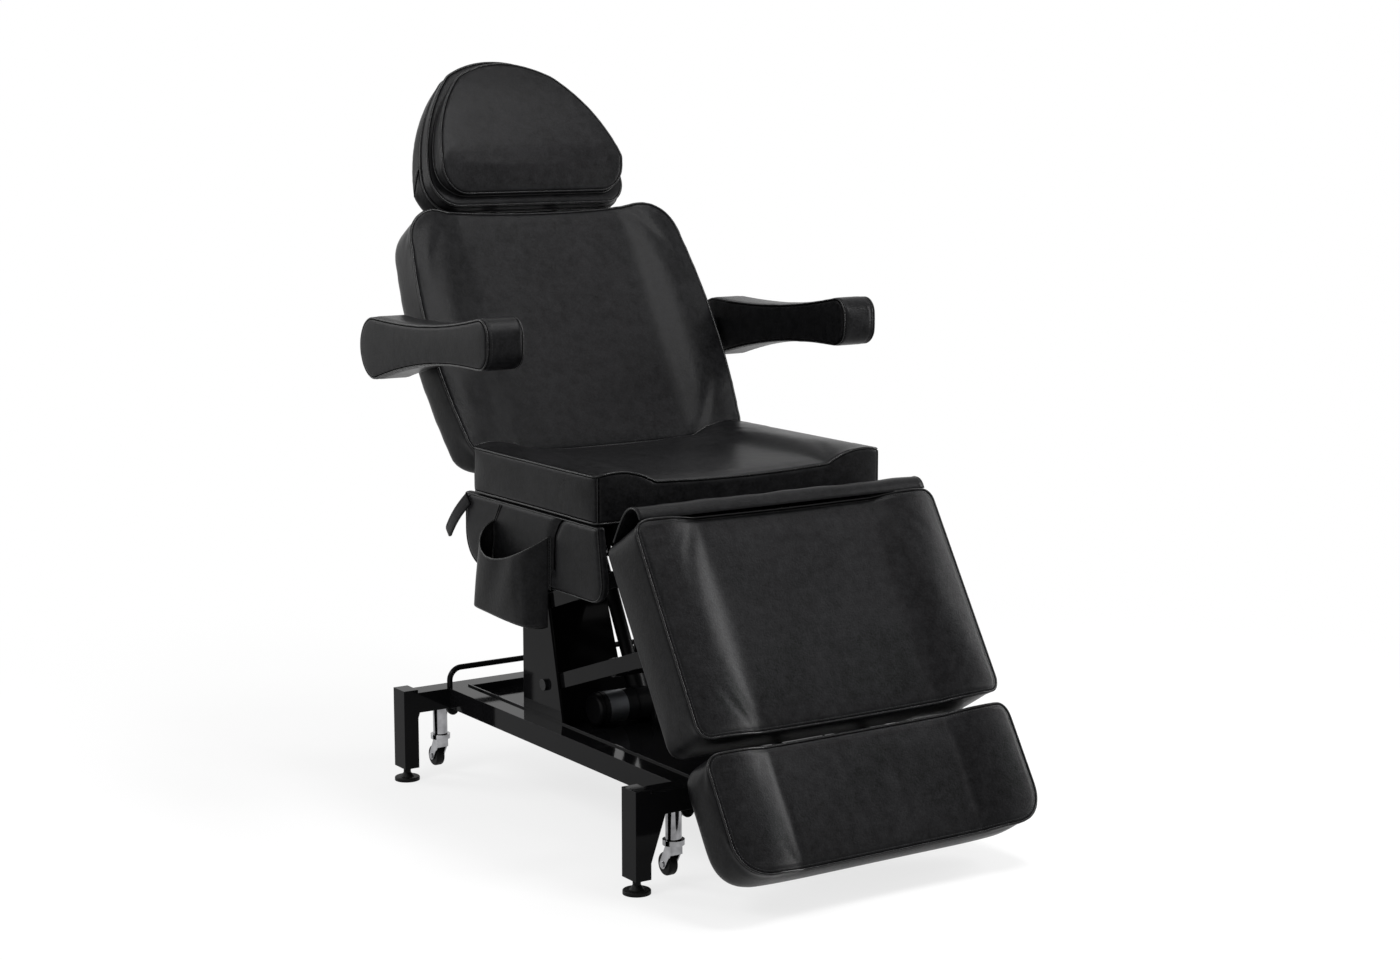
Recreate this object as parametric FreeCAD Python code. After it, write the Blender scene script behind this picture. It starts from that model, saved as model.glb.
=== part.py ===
"""Electric tattoo chair: an H-shaped steel base on levelling feet and casters, a parallel-arm
lift, a reclining back with two swing arms and a sliding headrest, and a raising leg rest with a
pull-out foot rest. All lengths are millimetres and +Z is up.

The sitter faces -Y. The model is drawn about the middle of the chair in X and about a line under
the seat in Y, and is moved at the end so that its origin is under the middle of its box."""

import FreeCAD, Part
import math
import os
from FreeCAD import Vector

# Clearances and overruns shared by all pieces
running_fit = 0.05
rest_gap = 0.3
cut_over = 1.0

# Seat cushion
seat_width = 610.0
seat_depth = 443.0
seat_thick = 85.0
seat_top = 668.0
seat_front = -150.0
seat_corner = 18.0
seat_pull_in = 4.0
seat_bolster = 120.0
seat_bolster_rise = 5.0
seat_hollow = 16.0

# Backrest cushion, measured along its own face and through its thickness
back_tilt = 31.5
back_half_width = 321.0
back_foot_half_width = 306.0
back_head_half_width = 304.0
back_length = 535.0
back_thick = 91.0
back_top_corner = 80.0
back_foot_corner = 62.0
back_top_dip = 8.0
back_bolster = 125.0
back_bolster_rise = 4.0
back_hollow = 13.0
back_edge_round = 16.0
back_lap = 32.3
back_face_drop = 68.0
back_foot = 40.0

# Headrest: a thick base cushion and a thinner pillow on its face
pillow_half_width = 203.0
pillow_top = 887.0
pillow_low = 600.0
pillow_corner = 52.0
pillow_face = -34.0
pillow_roll = 62.0
pillow_roll_depth = 26.0
head_half_width = 225.0
head_top = 906.0
head_low = 588.0
dome_shoulder_drop = 33.0
dome_ear_rise = 62.0
head_face = 8.0
head_back = 82.0
head_edge_round = 14.0
head_travel = 100.0
head_post_radius = 7.0
head_post_spread = 70.0
head_post_depth = 58.0
head_post_length = 330.0
socket_wall = 2.9
socket_grip = 80.0
socket_web = 4.0

# Leg rest and foot rest, in the plane of the leg rest's face
leg_tilt = 31.6
leg_reach = 127.3
leg_face_drop = 54.0
leg_half_width = 315.0
leg_length = 384.0
leg_thick = 105.0
leg_corner = 24.0
leg_bolster = 125.0
leg_bolster_rise = 4.0
leg_hollow = 12.0
leg_edge_round = 5.0
foot_gap = 30.0
foot_length = 208.0
foot_half_width = 317.0
foot_thick = 100.0
foot_corner = 60.0
foot_edge_round = 26.0
foot_travel = 100.0

# Flap over the gap between the seat and the leg rest
flap_half_width = 300.0
flap_sheet = 2.4
flap_rise = 31.0
flap_reach = 96.0

# Armrests, as seen from the side
arm_inner = 343.5
arm_width = 75.0
arm_pivot_behind = 162.0
arm_pivot_rise = 175.0
arm_lobe = 57.0
arm_length = 430.0
arm_waist_share = 0.498
arm_front_top = 84.0
arm_waist_top = 58.5
arm_waist_low = -13.0
arm_front_low = -4.0
arm_nose = 16.0
arm_edge_round = 7.0
arm_pin_radius = 6.0
arm_pin_depth = 52.0
arm_washer = 17.0
arm_plate = 6.0
arm_plate_eye = 20.0
arm_flange = 88.0

# Back frame
board_thick = 10.0
board_inset = 58.0
board_foot = 92.0
board_head = 545.0
board_corner = 40.0
hinge_behind = 45.0
hinge_under = 8.0
hinge_eye = 12.0
hinge_pin = 5.0
hinge_arm = 8.0
hinge_arm_x = 228.0
hinge_elbow_depth = 106.0
hinge_elbow_up = 78.0
hinge_arm_up = 200.0
lever_behind = 62.0
lever_under = 51.0
lever_eye = 11.0
lever_foot = 70.0
lever_head = 150.0

# Base
base_half_width = 363.0
post_width = 30.0
post_top = 179.5
post_low = 26.0
cross_depth = 44.0
beam_height = 39.0
beam_low = 134.0
front_beam_y = -341.0
rear_beam_y = 486.0
rail_width = 40.0
rail_inset = 98.4
gusset_width = 28.0
gusset_height = 80.0
gusset_thick = 4.0
tray_sheet = 3.0
tray_drop = 15.0
tray_lip = 3.0
loop_radius = 5.5
loop_bend = 24.0
loop_top = 209.5
loop_inset = 104.0
loop_ahead = 12.0
foot_disc_radius = 24.0
foot_disc_height = 7.0
foot_neck_radius = 13.0
foot_neck_height = 15.0
foot_stem_radius = 7.0
foot_stem_length = 62.0
foot_hole_slack = 0.3
foot_travel_up = 10.0

# Casters
caster_inset = 88.0
caster_stem_radius = 14.0
caster_stem_low = 82.0
caster_cup_radius = 19.0
caster_cup_height = 9.0
caster_pin_radius = 6.0
wheel_radius = 20.0
wheel_width = 17.0
wheel_round = 4.0
wheel_height = 34.0
wheel_trail = 17.0
fork_plate = 2.5
fork_gap = 0.6
axle_radius = 3.0
axle_head = 2.0
axle_head_radius = 5.5
swivel_gap = 1.0
clamp_inset = 28.0
clamp_width = 24.0
clamp_drop = 20.0
clamp_thick = 6.0
clamp_screw_radius = 4.0
clamp_screw_length = 9.0

# Lift column
column_inset = 8.0
column_plate = 5.0
column_rear = 252.0
column_front_low = 107.0
column_front_top = 163.0
column_top = 412.0
column_corner = 14.0
web_thick = 6.0
slot_low = 228.0
slot_low_half = 14.0
slot_top_half = 52.0

# Lift arms
lift_angle = 18.8
lift_length = 350.0
lower_pivot_y = 171.0
lower_pivot_z = 234.0
upper_pivot_y = 190.0
upper_pivot_z = 383.0
lift_arm_x = 200.0
lift_arm_width = 14.0
lift_arm_half = 14.0
lift_cross_radius = 17.0
lift_cross_share = 0.6
pivot_radius = 7.0
bolt_head = 6.5
bolt_head_radius = 11.0
bolt_inner = 3.0

# Seat frame
frame_tube = 40.0
frame_rail_width = 30.0
frame_rail_x = 262.0
frame_inset = 5.0
cross_bar = 30.0
middle_bar_y = 65.0
rear_bar_inset = 66.0
hanger_x = 186.0
hanger_plate = 6.0
hanger_eye = 16.0
hanger_top_front = -150.0
hanger_top_rear = -62.0
hanger_waist = 26.0
lug_plate = 8.0
lug_x = 240.0
leg_hinge_ahead = 21.0
leg_hinge_under = 46.0
leg_lug_x = 150.0

# Side panels under the seat, and the pocket on the right one
apron_outer = 303.0
apron_thick = 18.0
apron_ahead = 13.0
apron_top_inset = 1.0
apron_behind = 29.0
apron_height = 136.0
apron_front_corner = 36.0
apron_rear_round = 62.0
apron_edge_round = 6.0
pocket_depth = 37.0
pocket_front = 25.0
pocket_rear = 240.0
pocket_low = 372.0
pocket_top = 566.0
pocket_wall = 2.5
pocket_bottom_rise = 12.0
mouth_front = 60.0
mouth_rear = 226.0
mouth_top = 545.0
mouth_low = 474.0

# Pull strap at the seat's rear corner
strap_width = 24.0
strap_thick = 5.0
strap_x = 303.0
strap_behind = 7.0
strap_drop = 66.0
strap_run = 77.0

# Leg frame
leg_bar_width = 30.0
leg_bar_depth = 18.0
leg_bar_x = 130.0
leg_bar_top = 6.0
leg_ear_plate = 8.0
leg_ear_eye = 12.0
leg_lever_y = -190.0
leg_lever_z = 458.0
slide_radius = 9.0
slide_wall = 2.5
slide_x = 90.0
slide_tube_length = 250.0
slide_grip = 135.0
slide_plate = 6.0
slide_depth = 12.0

# Actuators: each has an eye, a gear housing, an outer tube and a rod with an eye
lift_motor_y = 98.0
lift_motor_z = 194.0
lift_top_y = 237.0
lift_top_z = 458.0
lift_actuator_x = -60.0
back_base_y = 80.0
back_base_z = 506.0
back_actuator_x = 60.0
leg_base_y = 50.0
leg_base_z = 500.0
leg_actuator_x = 0.0
actuator_eye = 11.0
actuator_eye_width = 16.0
actuator_tube = 13.0
actuator_bore = 9.2
actuator_rod = 9.1
actuator_housing = 19.0
actuator_housing_start = 25.0
actuator_housing_length = 40.0
actuator_neck = 8.5
actuator_tube_short = 26.0
actuator_grip = 15.0
actuator_end_gap = 2.0
actuator_pin = 5.0
lift_closing = 20.0
lift_opening = 200.0
back_closing = 75.0
back_opening = 5.0
leg_closing = 1.0
leg_opening = 56.0
motor_radius = 30.0
motor_length = 84.0
motor_plate = 12.0
small_motor_radius = 16.0
small_motor_length = 66.0
small_motor_inset = 4.0
clevis_plate = 5.0
clevis_gap = 1.5
clevis_eye = 13.0
bracket_plate = 8.0

# Control box under the seat
control_x = 95.0
control_width = 88.0
control_front = 68.0
control_length = 130.0
control_height = 74.0
control_round = 5.0
inlet_width = 28.0
inlet_height = 21.0
inlet_depth = 14.0

# Handset on the left side panel
handset_length = 200.0
handset_half_width = 32.5
handset_waist_half = 29.5
handset_thick = 25.0
handset_low = 362.0
handset_y = 30.0
handset_round = 6.0
key_height = 3.4
key_proud = 1.2
key_slack = 0.35
key_travel = 1.0
key_floor_gap = 0.1
key_corner = 4.0
key_width = 20.0
key_tall = 19.0
key_spread = 12.0
rocker_width = 37.0
rocker_tall = 18.0
key_top_up = 148.0
key_raise_up = 124.5
key_lower_up = 103.5
key_leg_up = 80.0
relief_length = 28.0
relief_wide = 7.0
relief_narrow = 4.2
holder_plate = 3.0
holder_wing = 2.5
holder_wing_depth = 15.0
holder_low = 112.0
holder_high = 152.0
holder_tab_half = 10.0

# Handset cord
cord_radius = 2.5
gland_y = 285.0
gland_width = 24.0
gland_depth = 19.0
gland_height = 30.0
gland_low = 465.0
cord_lane = 313.0

back_side_slack = 3.0

# Places that follow the seat, the base and each other
seat_bottom = seat_top - seat_thick
seat_rear = seat_front + seat_depth
back_face_y = seat_rear - back_lap
back_face_z = seat_top - back_face_drop
leg_face_y = seat_front - leg_reach
leg_face_z = seat_top - leg_face_drop
arm_pivot_y = seat_rear + arm_pivot_behind
arm_pivot_z = seat_top + arm_pivot_rise
hinge_y = seat_rear + hinge_behind
hinge_z = seat_bottom - hinge_under
back_lever_y = hinge_y + lever_behind
back_lever_z = hinge_z - lever_under
frame_front = seat_front + frame_inset
frame_rear = seat_rear - frame_inset
rear_bar_y = frame_rear - rear_bar_inset
leg_hinge_y = seat_front - leg_hinge_ahead
leg_hinge_z = seat_bottom - leg_hinge_under
apron_front = seat_front - apron_ahead
apron_front_top = seat_front + apron_top_inset
apron_rear = seat_rear + apron_behind
apron_low = seat_bottom - apron_height
strap_top_y = seat_rear + strap_behind
caster_x = base_half_width - caster_inset
clamp_x = caster_x - clamp_inset
rail_outer = base_half_width - rail_inset
loop_x = base_half_width - loop_inset
loop_y = rear_beam_y - loop_ahead
column_inner = rail_outer - rail_width - column_inset
socket_length = head_travel + socket_grip


def pt(x, y, z):
    """A point."""
    return Vector(x, y, z)


def block(x0, x1, y0, y1, z0, z1):
    """A box between two corners."""
    return Part.makeBox(x1 - x0, y1 - y0, z1 - z0, pt(x0, y0, z0))


def rod(start, end, radius):
    """A round bar from one point to another."""
    axis = end.sub(start)
    return Part.makeCylinder(radius, axis.Length, start, axis)


def x_rod(x0, x1, y, z, radius):
    """A round bar along X."""
    return rod(pt(x0, y, z), pt(x1, y, z), radius)


def mirrored(shape):
    """The same piece on the chair's other side."""
    return shape.mirror(pt(0, 0, 0), pt(1, 0, 0))


def both_sides(shape):
    """A piece and its mirror image, as two solids."""
    return [shape, mirrored(shape)]


def joined(shapes):
    """One welded solid out of overlapping shapes."""
    first = shapes[0]
    return first.fuse(shapes[1:]).removeSplitter() if shapes[1:] else first


def wire_of(steps, place):
    """A closed outline. Each step is an end point, or a mid point and an end point of an arc."""
    edges = []
    here = steps[0][-1]
    for step in steps[1:]:
        if len(step) == 1:
            edges.append(Part.LineSegment(place(*here), place(*step[0])).toShape())
        else:
            edges.append(Part.Arc(place(*here), place(*step[0]), place(*step[1])).toShape())
        here = step[-1]
    if place(*here).distanceToPoint(place(*steps[0][-1])) > running_fit:
        edges.append(Part.LineSegment(place(*here), place(*steps[0][-1])).toShape())
    return Part.Wire(edges)


def prism(steps, place, along):
    """An outline pushed along a direction."""
    return Part.Face(wire_of(steps, place)).extrude(along)


def side_prism(steps, x0, x1):
    """An outline given in (y, z), from x0 to x1."""
    return prism(steps, lambda y, z: pt(x0, y, z), pt(x1 - x0, 0, 0))


def link_steps(a, b, radius_a, radius_b):
    """The outline round two circles: two tangents and two arcs."""
    run = (b[0] - a[0], b[1] - a[1])
    length = math.hypot(*run)
    along = (run[0] / length, run[1] / length)
    across = (-along[1], along[0])
    lean = math.acos((radius_a - radius_b) / length)

    def rim(centre, radius, side):
        """Where the tangent on one side leaves a circle."""
        step = [along[i] * math.cos(lean) + across[i] * side * math.sin(lean) for i in (0, 1)]
        return (centre[0] + step[0] * radius, centre[1] + step[1] * radius)

    back_a = (a[0] - along[0] * radius_a, a[1] - along[1] * radius_a)
    front_b = (b[0] + along[0] * radius_b, b[1] + along[1] * radius_b)
    return [
        (rim(a, radius_a, -1),),
        (rim(b, radius_b, -1),),
        (front_b, rim(b, radius_b, 1)),
        (rim(a, radius_a, 1),),
        (back_a, rim(a, radius_a, -1)),
    ]


def link(x0, x1, a, b, radius_a, radius_b):
    """A flat link with round ends, in (y, z), from x0 to x1."""
    return side_prism(link_steps(a, b, radius_a, radius_b), x0, x1)


def drilled(shape, y, z, radius, x0, x1):
    """The shape with a bore along X."""
    return shape.cut(x_rod(x0 - cut_over, x1 + cut_over, y, z, radius))


def rounded(shape, radius, wanted):
    """The shape with the wanted edges rounded."""
    edges = [edge for edge in shape.Edges if wanted(edge)]
    return shape.makeFillet(radius, edges)


def lies_at(value, axis):
    """A test for edges that lie in one plane across an axis."""
    def test(edge):
        box = edge.BoundBox
        low = (box.XMin, box.YMin, box.ZMin)[axis]
        high = (box.XMax, box.YMax, box.ZMax)[axis]
        return abs(low - value) < running_fit and abs(high - value) < running_fit
    return test


def stands(axis):
    """A test for straight edges along one axis."""
    def test(edge):
        if len(edge.Vertexes) < 2:
            return False
        run = edge.Vertexes[1].Point.sub(edge.Vertexes[0].Point)
        parts = [abs(run.x), abs(run.y), abs(run.z)]
        return parts[axis] > running_fit and sum(parts) - parts[axis] < running_fit
    return test


def leaned(shape, tilt, y, z):
    """A panel drawn upright, leaned back and set in place."""
    turned = shape.copy()
    turned.rotate(pt(0, 0, 0), pt(1, 0, 0), -tilt)
    turned.translate(pt(0, y, z))
    return turned


def on_back(shape):
    """From the backrest's own frame (x, depth behind its face, height up its face)."""
    return leaned(shape, back_tilt, back_face_y, back_face_z)


def on_leg(shape):
    """From the leg rest's own frame (x, depth behind its face, height up its face)."""
    return leaned(shape, leg_tilt, leg_face_y, leg_face_z)


def in_panel(y, z, tilt, face_y, face_z):
    """A place in (y, z) as depth behind a leaned panel's face and height up it."""
    angle = math.radians(tilt)
    dy = y - face_y
    dz = z - face_z
    depth = dy * math.cos(angle) - dz * math.sin(angle)
    up = dy * math.sin(angle) + dz * math.cos(angle)
    return depth, up


def in_back(y, z):
    """A place in (y, z) in the backrest's own frame."""
    return in_panel(y, z, back_tilt, back_face_y, back_face_z)


def in_leg(y, z):
    """A place in (y, z) in the leg rest's own frame."""
    return in_panel(y, z, leg_tilt, leg_face_y, leg_face_z)


def crowned_section(half_width, bolster, rise, hollow, back):
    """A panel's cross-section in (x, depth): two bolsters with a hollow between them."""
    crest = half_width - bolster / 2
    foot = half_width - bolster
    wide = half_width + cut_over
    return [
        ((-wide, back),),
        ((-wide, 0),),
        ((-half_width, 0),),
        ((-crest, -rise), (-foot, hollow)),
        ((0, hollow + rise), (foot, hollow)),
        ((crest, -rise), (half_width, 0)),
        ((wide, 0),),
        ((wide, back),),
    ]


# Cushions


def seat_cushion():
    """The seat: a boxed cushion with two bolsters, drawn in between its corners."""
    half = seat_width / 2
    section = crowned_section(half, seat_bolster, seat_bolster_rise, seat_hollow, seat_thick)
    body = prism(section, lambda x, d: pt(x, seat_front, seat_top - d), pt(0, seat_depth, 0))
    pull = seat_pull_in
    middle = (seat_front + seat_rear) / 2
    plan = [
        ((-half, seat_front),),
        ((0, seat_front + pull), (half, seat_front)),
        ((half - pull, middle), (half, seat_rear)),
        ((0, seat_rear - pull), (-half, seat_rear)),
        ((-half + pull, middle), (-half, seat_front)),
    ]
    room = seat_thick + seat_bolster_rise + cut_over
    low = seat_bottom - cut_over
    outline = prism(plan, lambda x, y: pt(x, y, low), pt(0, 0, room + cut_over))
    outline = rounded(outline, seat_corner, stands(2))
    return body.common(outline)


def backrest_outline():
    """The backrest's outline in (x, up): swelling sides, round corners and a dipped top."""
    top = back_foot + back_length
    head = back_head_half_width
    low = back_foot_half_width
    share = math.sqrt(0.5)
    head_mid = (head - back_top_corner * (1 - share), top - back_top_corner * (1 - share))
    low_mid = (low - back_foot_corner * (1 - share), back_foot + back_foot_corner * (1 - share))
    head_low = top - back_top_corner
    foot_high = back_foot + back_foot_corner
    middle = (head_low + foot_high) / 2
    return [
        ((-low + back_foot_corner, back_foot),),
        ((low - back_foot_corner, back_foot),),
        (low_mid, (low, foot_high)),
        ((back_half_width, middle), (head, head_low)),
        (head_mid, (head - back_top_corner, top)),
        ((0, top - back_top_dip), (-head + back_top_corner, top)),
        ((-head_mid[0], head_mid[1]), (-head, head_low)),
        ((-back_half_width, middle), (-low, foot_high)),
        ((-low_mid[0], low_mid[1]), (-low + back_foot_corner, back_foot)),
    ]


def socket_room(radius, web, low, high):
    """The space of one headrest socket and its web, in the backrest's own frame."""
    x = head_post_spread
    barrel = rod(pt(x, head_post_depth, low), pt(x, head_post_depth, high), radius)
    fin = block(x - web / 2, x + web / 2, head_post_depth, back_thick + cut_over, low, high)
    return joined([barrel, fin])


def backrest_cushion():
    """The backrest: bolsters along its length, a round foot end and soft rear edges."""
    top = back_foot + back_length
    section = crowned_section(
        back_half_width, back_bolster, back_bolster_rise, back_hollow, back_thick
    )
    room = back_length + 2 * cut_over
    body = prism(section, lambda x, d: pt(x, d, back_foot - cut_over), pt(0, 0, room))
    front = -back_bolster_rise - cut_over
    through = pt(0, back_thick + cut_over - front, 0)
    outline = prism(backrest_outline(), lambda x, u: pt(x, front, u), through)
    shape = body.common(outline)
    half = (back_thick + back_bolster_rise) / 2
    middle = back_thick - half
    edge = back_edge_round * (1 - math.sqrt(0.5))
    wide = back_half_width + cut_over
    side = side_prism(
        [
            ((-back_bolster_rise, back_foot + half),),
            ((middle, back_foot), (back_thick, back_foot + half)),
            ((back_thick, top - back_edge_round),),
            ((back_thick - edge, top - edge), (back_thick - back_edge_round, top)),
            ((-back_bolster_rise, top),),
        ],
        -wide,
        wide,
    )
    shape = shape.common(side)
    radius = head_post_radius + running_fit + socket_wall + rest_gap
    low = top - socket_length - rest_gap
    web = socket_web + 2 * rest_gap
    for slot in both_sides(socket_room(radius, web, low, top + cut_over)):
        shape = shape.cut(slot)
    return on_back(shape)


def dome_shoulder_share():
    """How far out the dome's top arc ends, as a share of its half width."""
    return 0.52


def dome_flank_share():
    """Where the dome's side arc passes, as shares of its half width and of the side's height."""
    return 0.8, 0.61


def dome_steps(half, low, top, corner):
    """A headrest outline in (x, up): a flat arc on top and a bowed arc down each side."""
    bend = corner * (1 - math.sqrt(0.5))
    mid = (half - bend, low + bend)
    ear = low + dome_ear_rise
    shoulder = (half * dome_shoulder_share(), top - dome_shoulder_drop)
    out_share, up_share = dome_flank_share()
    flank = (half * out_share, ear + (shoulder[1] - ear) * up_share)
    return [
        ((-half + corner, low),),
        ((half - corner, low),),
        (mid, (half, low + corner)),
        ((half, ear),),
        (flank, shoulder),
        ((0, top), (-shoulder[0], shoulder[1])),
        ((-flank[0], flank[1]), (-half, ear)),
        ((-half, low + corner),),
        ((-mid[0], mid[1]), (-half + corner, low)),
    ]


def headrest_cushion():
    """The headrest's base cushion, bored for its two posts."""
    steps = dome_steps(head_half_width, head_low, head_top, pillow_corner)
    depth = pt(0, head_back - head_face, 0)
    shape = prism(steps, lambda x, u: pt(x, head_face, u), depth)
    shape = rounded(shape, head_edge_round, lies_at(head_back, 1))
    high = back_foot + back_length + head_post_length - socket_length
    for side in (-1, 1):
        x = side * head_post_spread
        start = pt(x, head_post_depth, head_low - cut_over)
        shape = shape.cut(rod(start, pt(x, head_post_depth, high), head_post_radius))
    return on_back(shape)


def headrest_pillow():
    """The pillow: a crowned face that rolls back to its foot."""
    steps = dome_steps(pillow_half_width, pillow_low, pillow_top, pillow_corner)
    front = pillow_face
    depth = pt(0, head_face - front, 0)
    shape = prism(steps, lambda x, u: pt(x, front, u), depth)
    top = pillow_top
    crown = (head_face - front) / 3
    wide = pillow_half_width + cut_over
    middle = (top + pillow_low + pillow_roll) / 2
    side = side_prism(
        [
            ((head_face, pillow_low),),
            ((head_face, top),),
            ((front + crown, top),),
            ((front, middle), (front + crown / 2, pillow_low + pillow_roll)),
            (
                (front + crown, pillow_low + pillow_roll / 3),
                (front + pillow_roll_depth, pillow_low),
            ),
        ],
        -wide,
        wide,
    )
    return on_back(shape.common(side))


def box_steps(half_width, low, high, corner_low, corner_high):
    """An upright outline in (x, up) with round low and high corners."""
    share = 1 - math.sqrt(0.5)
    low_mid = (half_width - corner_low * share, low + corner_low * share)
    high_mid = (half_width - corner_high * share, high - corner_high * share)
    return [
        ((-half_width + corner_low, low),),
        ((half_width - corner_low, low),),
        (low_mid, (half_width, low + corner_low)),
        ((half_width, high - corner_high),),
        (high_mid, (half_width - corner_high, high)),
        ((-half_width + corner_high, high),),
        ((-high_mid[0], high_mid[1]), (-half_width, high - corner_high)),
        ((-half_width, low + corner_low),),
        ((-low_mid[0], low_mid[1]), (-half_width + corner_low, low)),
    ]


def leg_panel(half_width, low, high, thick, corner_low, corner_high, edge_round):
    """A leg cushion in the leg rest's frame, with bolsters and soft rear edges."""
    section = crowned_section(half_width, leg_bolster, leg_bolster_rise, leg_hollow, thick)
    body = prism(section, lambda x, d: pt(x, d, low - cut_over), pt(0, 0, high - low + 2 * cut_over))
    front = -leg_bolster_rise - cut_over
    steps = box_steps(half_width, low, high, corner_low, corner_high)
    outline = prism(steps, lambda x, u: pt(x, front, u), pt(0, thick - front, 0))
    outline = rounded(outline, edge_round, lies_at(thick, 1))
    return on_leg(body.common(outline))


def leg_rest_cushion():
    """The calf cushion."""
    return leg_panel(
        leg_half_width, -leg_length, 0, leg_thick, leg_corner, leg_corner, leg_edge_round
    )


def foot_rest_cushion():
    """The foot cushion, with large lower corners."""
    high = -leg_length - foot_gap
    return leg_panel(
        foot_half_width, high - foot_length, high, foot_thick, foot_corner, leg_corner,
        foot_edge_round,
    )


def hinge_flap():
    """The arched sheet over the gap in front of the seat, open at both ends."""
    middle = flap_reach / 2
    sheet = flap_sheet
    steps = [
        ((0, 0),),
        ((middle, flap_rise), (flap_reach, 0)),
        ((flap_reach - sheet, 0),),
        ((middle, flap_rise - sheet), (sheet, 0)),
    ]
    return on_leg(side_prism(steps, -flap_half_width, flap_half_width))


def armrest_pad(outer, inner):
    """One armrest: a dog-bone pad with a blunt nose, bored for its pin."""
    y = arm_pivot_y
    z = arm_pivot_z
    front = y - arm_length
    waist = y - arm_length * arm_waist_share
    nose = arm_nose * (1 - math.sqrt(0.5))
    top = z + arm_front_top
    low = z + arm_front_low
    steps = [
        ((y, z - arm_lobe),),
        ((waist, z + arm_waist_low), (front + arm_nose, low)),
        ((front + nose, low + nose), (front, low + arm_nose)),
        ((front, top - arm_nose),),
        ((front + nose, top - nose), (front + arm_nose, top)),
        ((waist, z + arm_waist_top), (y, z + arm_lobe)),
        ((y + arm_lobe, z), (y, z - arm_lobe)),
    ]
    shape = side_prism(steps, inner, outer)
    shape = rounded(shape, arm_edge_round, lambda e: lies_at(inner, 0)(e) or lies_at(outer, 0)(e))
    sign = 1 if outer > 0 else -1
    start = inner - sign * cut_over
    bore = x_rod(start, inner + sign * arm_pin_depth, y, z, arm_pin_radius + running_fit)
    return shape.cut(bore)


def armrest_pads():
    """The pads on the sitter's right and left."""
    outer = arm_inner + arm_width
    return armrest_pad(-outer, -arm_inner), armrest_pad(outer, arm_inner)


# Back frame, headrest posts and armrest brackets


def back_frame():
    """The board behind the backrest, its hinge arms, actuator lever and headrest sockets."""
    half = back_half_width - board_inset
    steps = box_steps(half, board_foot, board_head, board_corner, board_corner)
    board = prism(steps, lambda x, u: pt(x, back_thick, u), pt(0, board_thick, 0))
    rear = back_thick + board_thick
    pieces = [board]
    pivot = in_back(hinge_y, hinge_z)
    elbow = (hinge_elbow_depth, hinge_elbow_up)
    shoulder = (hinge_elbow_depth, hinge_arm_up)
    for side in (1, -1):
        x0 = side * hinge_arm_x
        x1 = side * (hinge_arm_x + hinge_arm)
        arm = joined([link(x0, x1, pivot, elbow, hinge_eye, hinge_eye),
                      link(x0, x1, elbow, shoulder, hinge_eye, hinge_eye)])
        low, high = sorted((x0, x1))
        pieces.append(drilled(arm, pivot[0], pivot[1], hinge_pin + running_fit, low, high))
    lever = in_back(back_lever_y, back_lever_z)
    inner = actuator_eye_width / 2 + clevis_gap
    for side in (1, -1):
        x0 = back_actuator_x + side * inner
        x1 = x0 + side * clevis_plate
        root = (rear - clevis_plate, lever_foot)
        head = (rear - clevis_plate, lever_head)
        pieces.append(link(x0, x1, lever, root, lever_eye, clevis_plate))
        pieces.append(link(x0, x1, lever, head, lever_eye, clevis_plate))
    top = back_foot + back_length
    outer = head_post_radius + running_fit + socket_wall
    low = top - socket_length
    sockets = socket_room(outer, socket_web, low, top)
    bore_start = pt(head_post_spread, head_post_depth, low - cut_over)
    bore_end = pt(head_post_spread, head_post_depth, top + cut_over)
    sockets = sockets.cut(rod(bore_start, bore_end, head_post_radius + running_fit))
    sockets = sockets.cut(block(0, back_half_width, rear, rear + cut_over, low, top))
    pieces += both_sides(sockets)
    return on_back(joined(pieces))


def headrest_posts():
    """The two chrome posts that slide in the back frame's sockets."""
    high = back_foot + back_length + head_post_length - socket_length
    low = high - head_post_length
    posts = []
    for side in (-1, 1):
        x = side * head_post_spread
        post = rod(pt(x, head_post_depth, low), pt(x, head_post_depth, high), head_post_radius)
        posts.append(on_back(post))
    return posts


def armrest_bracket(side):
    """A plate on the back frame with the armrest's washer and pin."""
    pivot = in_back(arm_pivot_y, arm_pivot_z)
    inner = back_half_width + back_side_slack
    outer = inner + arm_plate
    rear = back_thick + board_thick
    tail = (rear + arm_plate - arm_plate_eye, pivot[1])
    plate = link(inner, outer, pivot, tail, arm_plate_eye, arm_plate_eye)
    flange = block(inner - arm_flange, outer, rear, rear + arm_plate,
                   pivot[1] - arm_plate_eye, pivot[1] + arm_plate_eye)
    corner = block(inner, outer, rear + arm_plate - arm_plate_eye, rear + arm_plate,
                   pivot[1] - arm_plate_eye, pivot[1] + arm_plate_eye)
    washer = x_rod(outer, arm_inner - rest_gap, pivot[0], pivot[1], arm_washer)
    pin = x_rod(outer, arm_inner + arm_pin_depth - rest_gap, pivot[0], pivot[1], arm_pin_radius)
    shape = on_back(joined([plate, flange, corner, washer, pin]))
    return mirrored(shape) if side < 0 else shape


# Base


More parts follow.
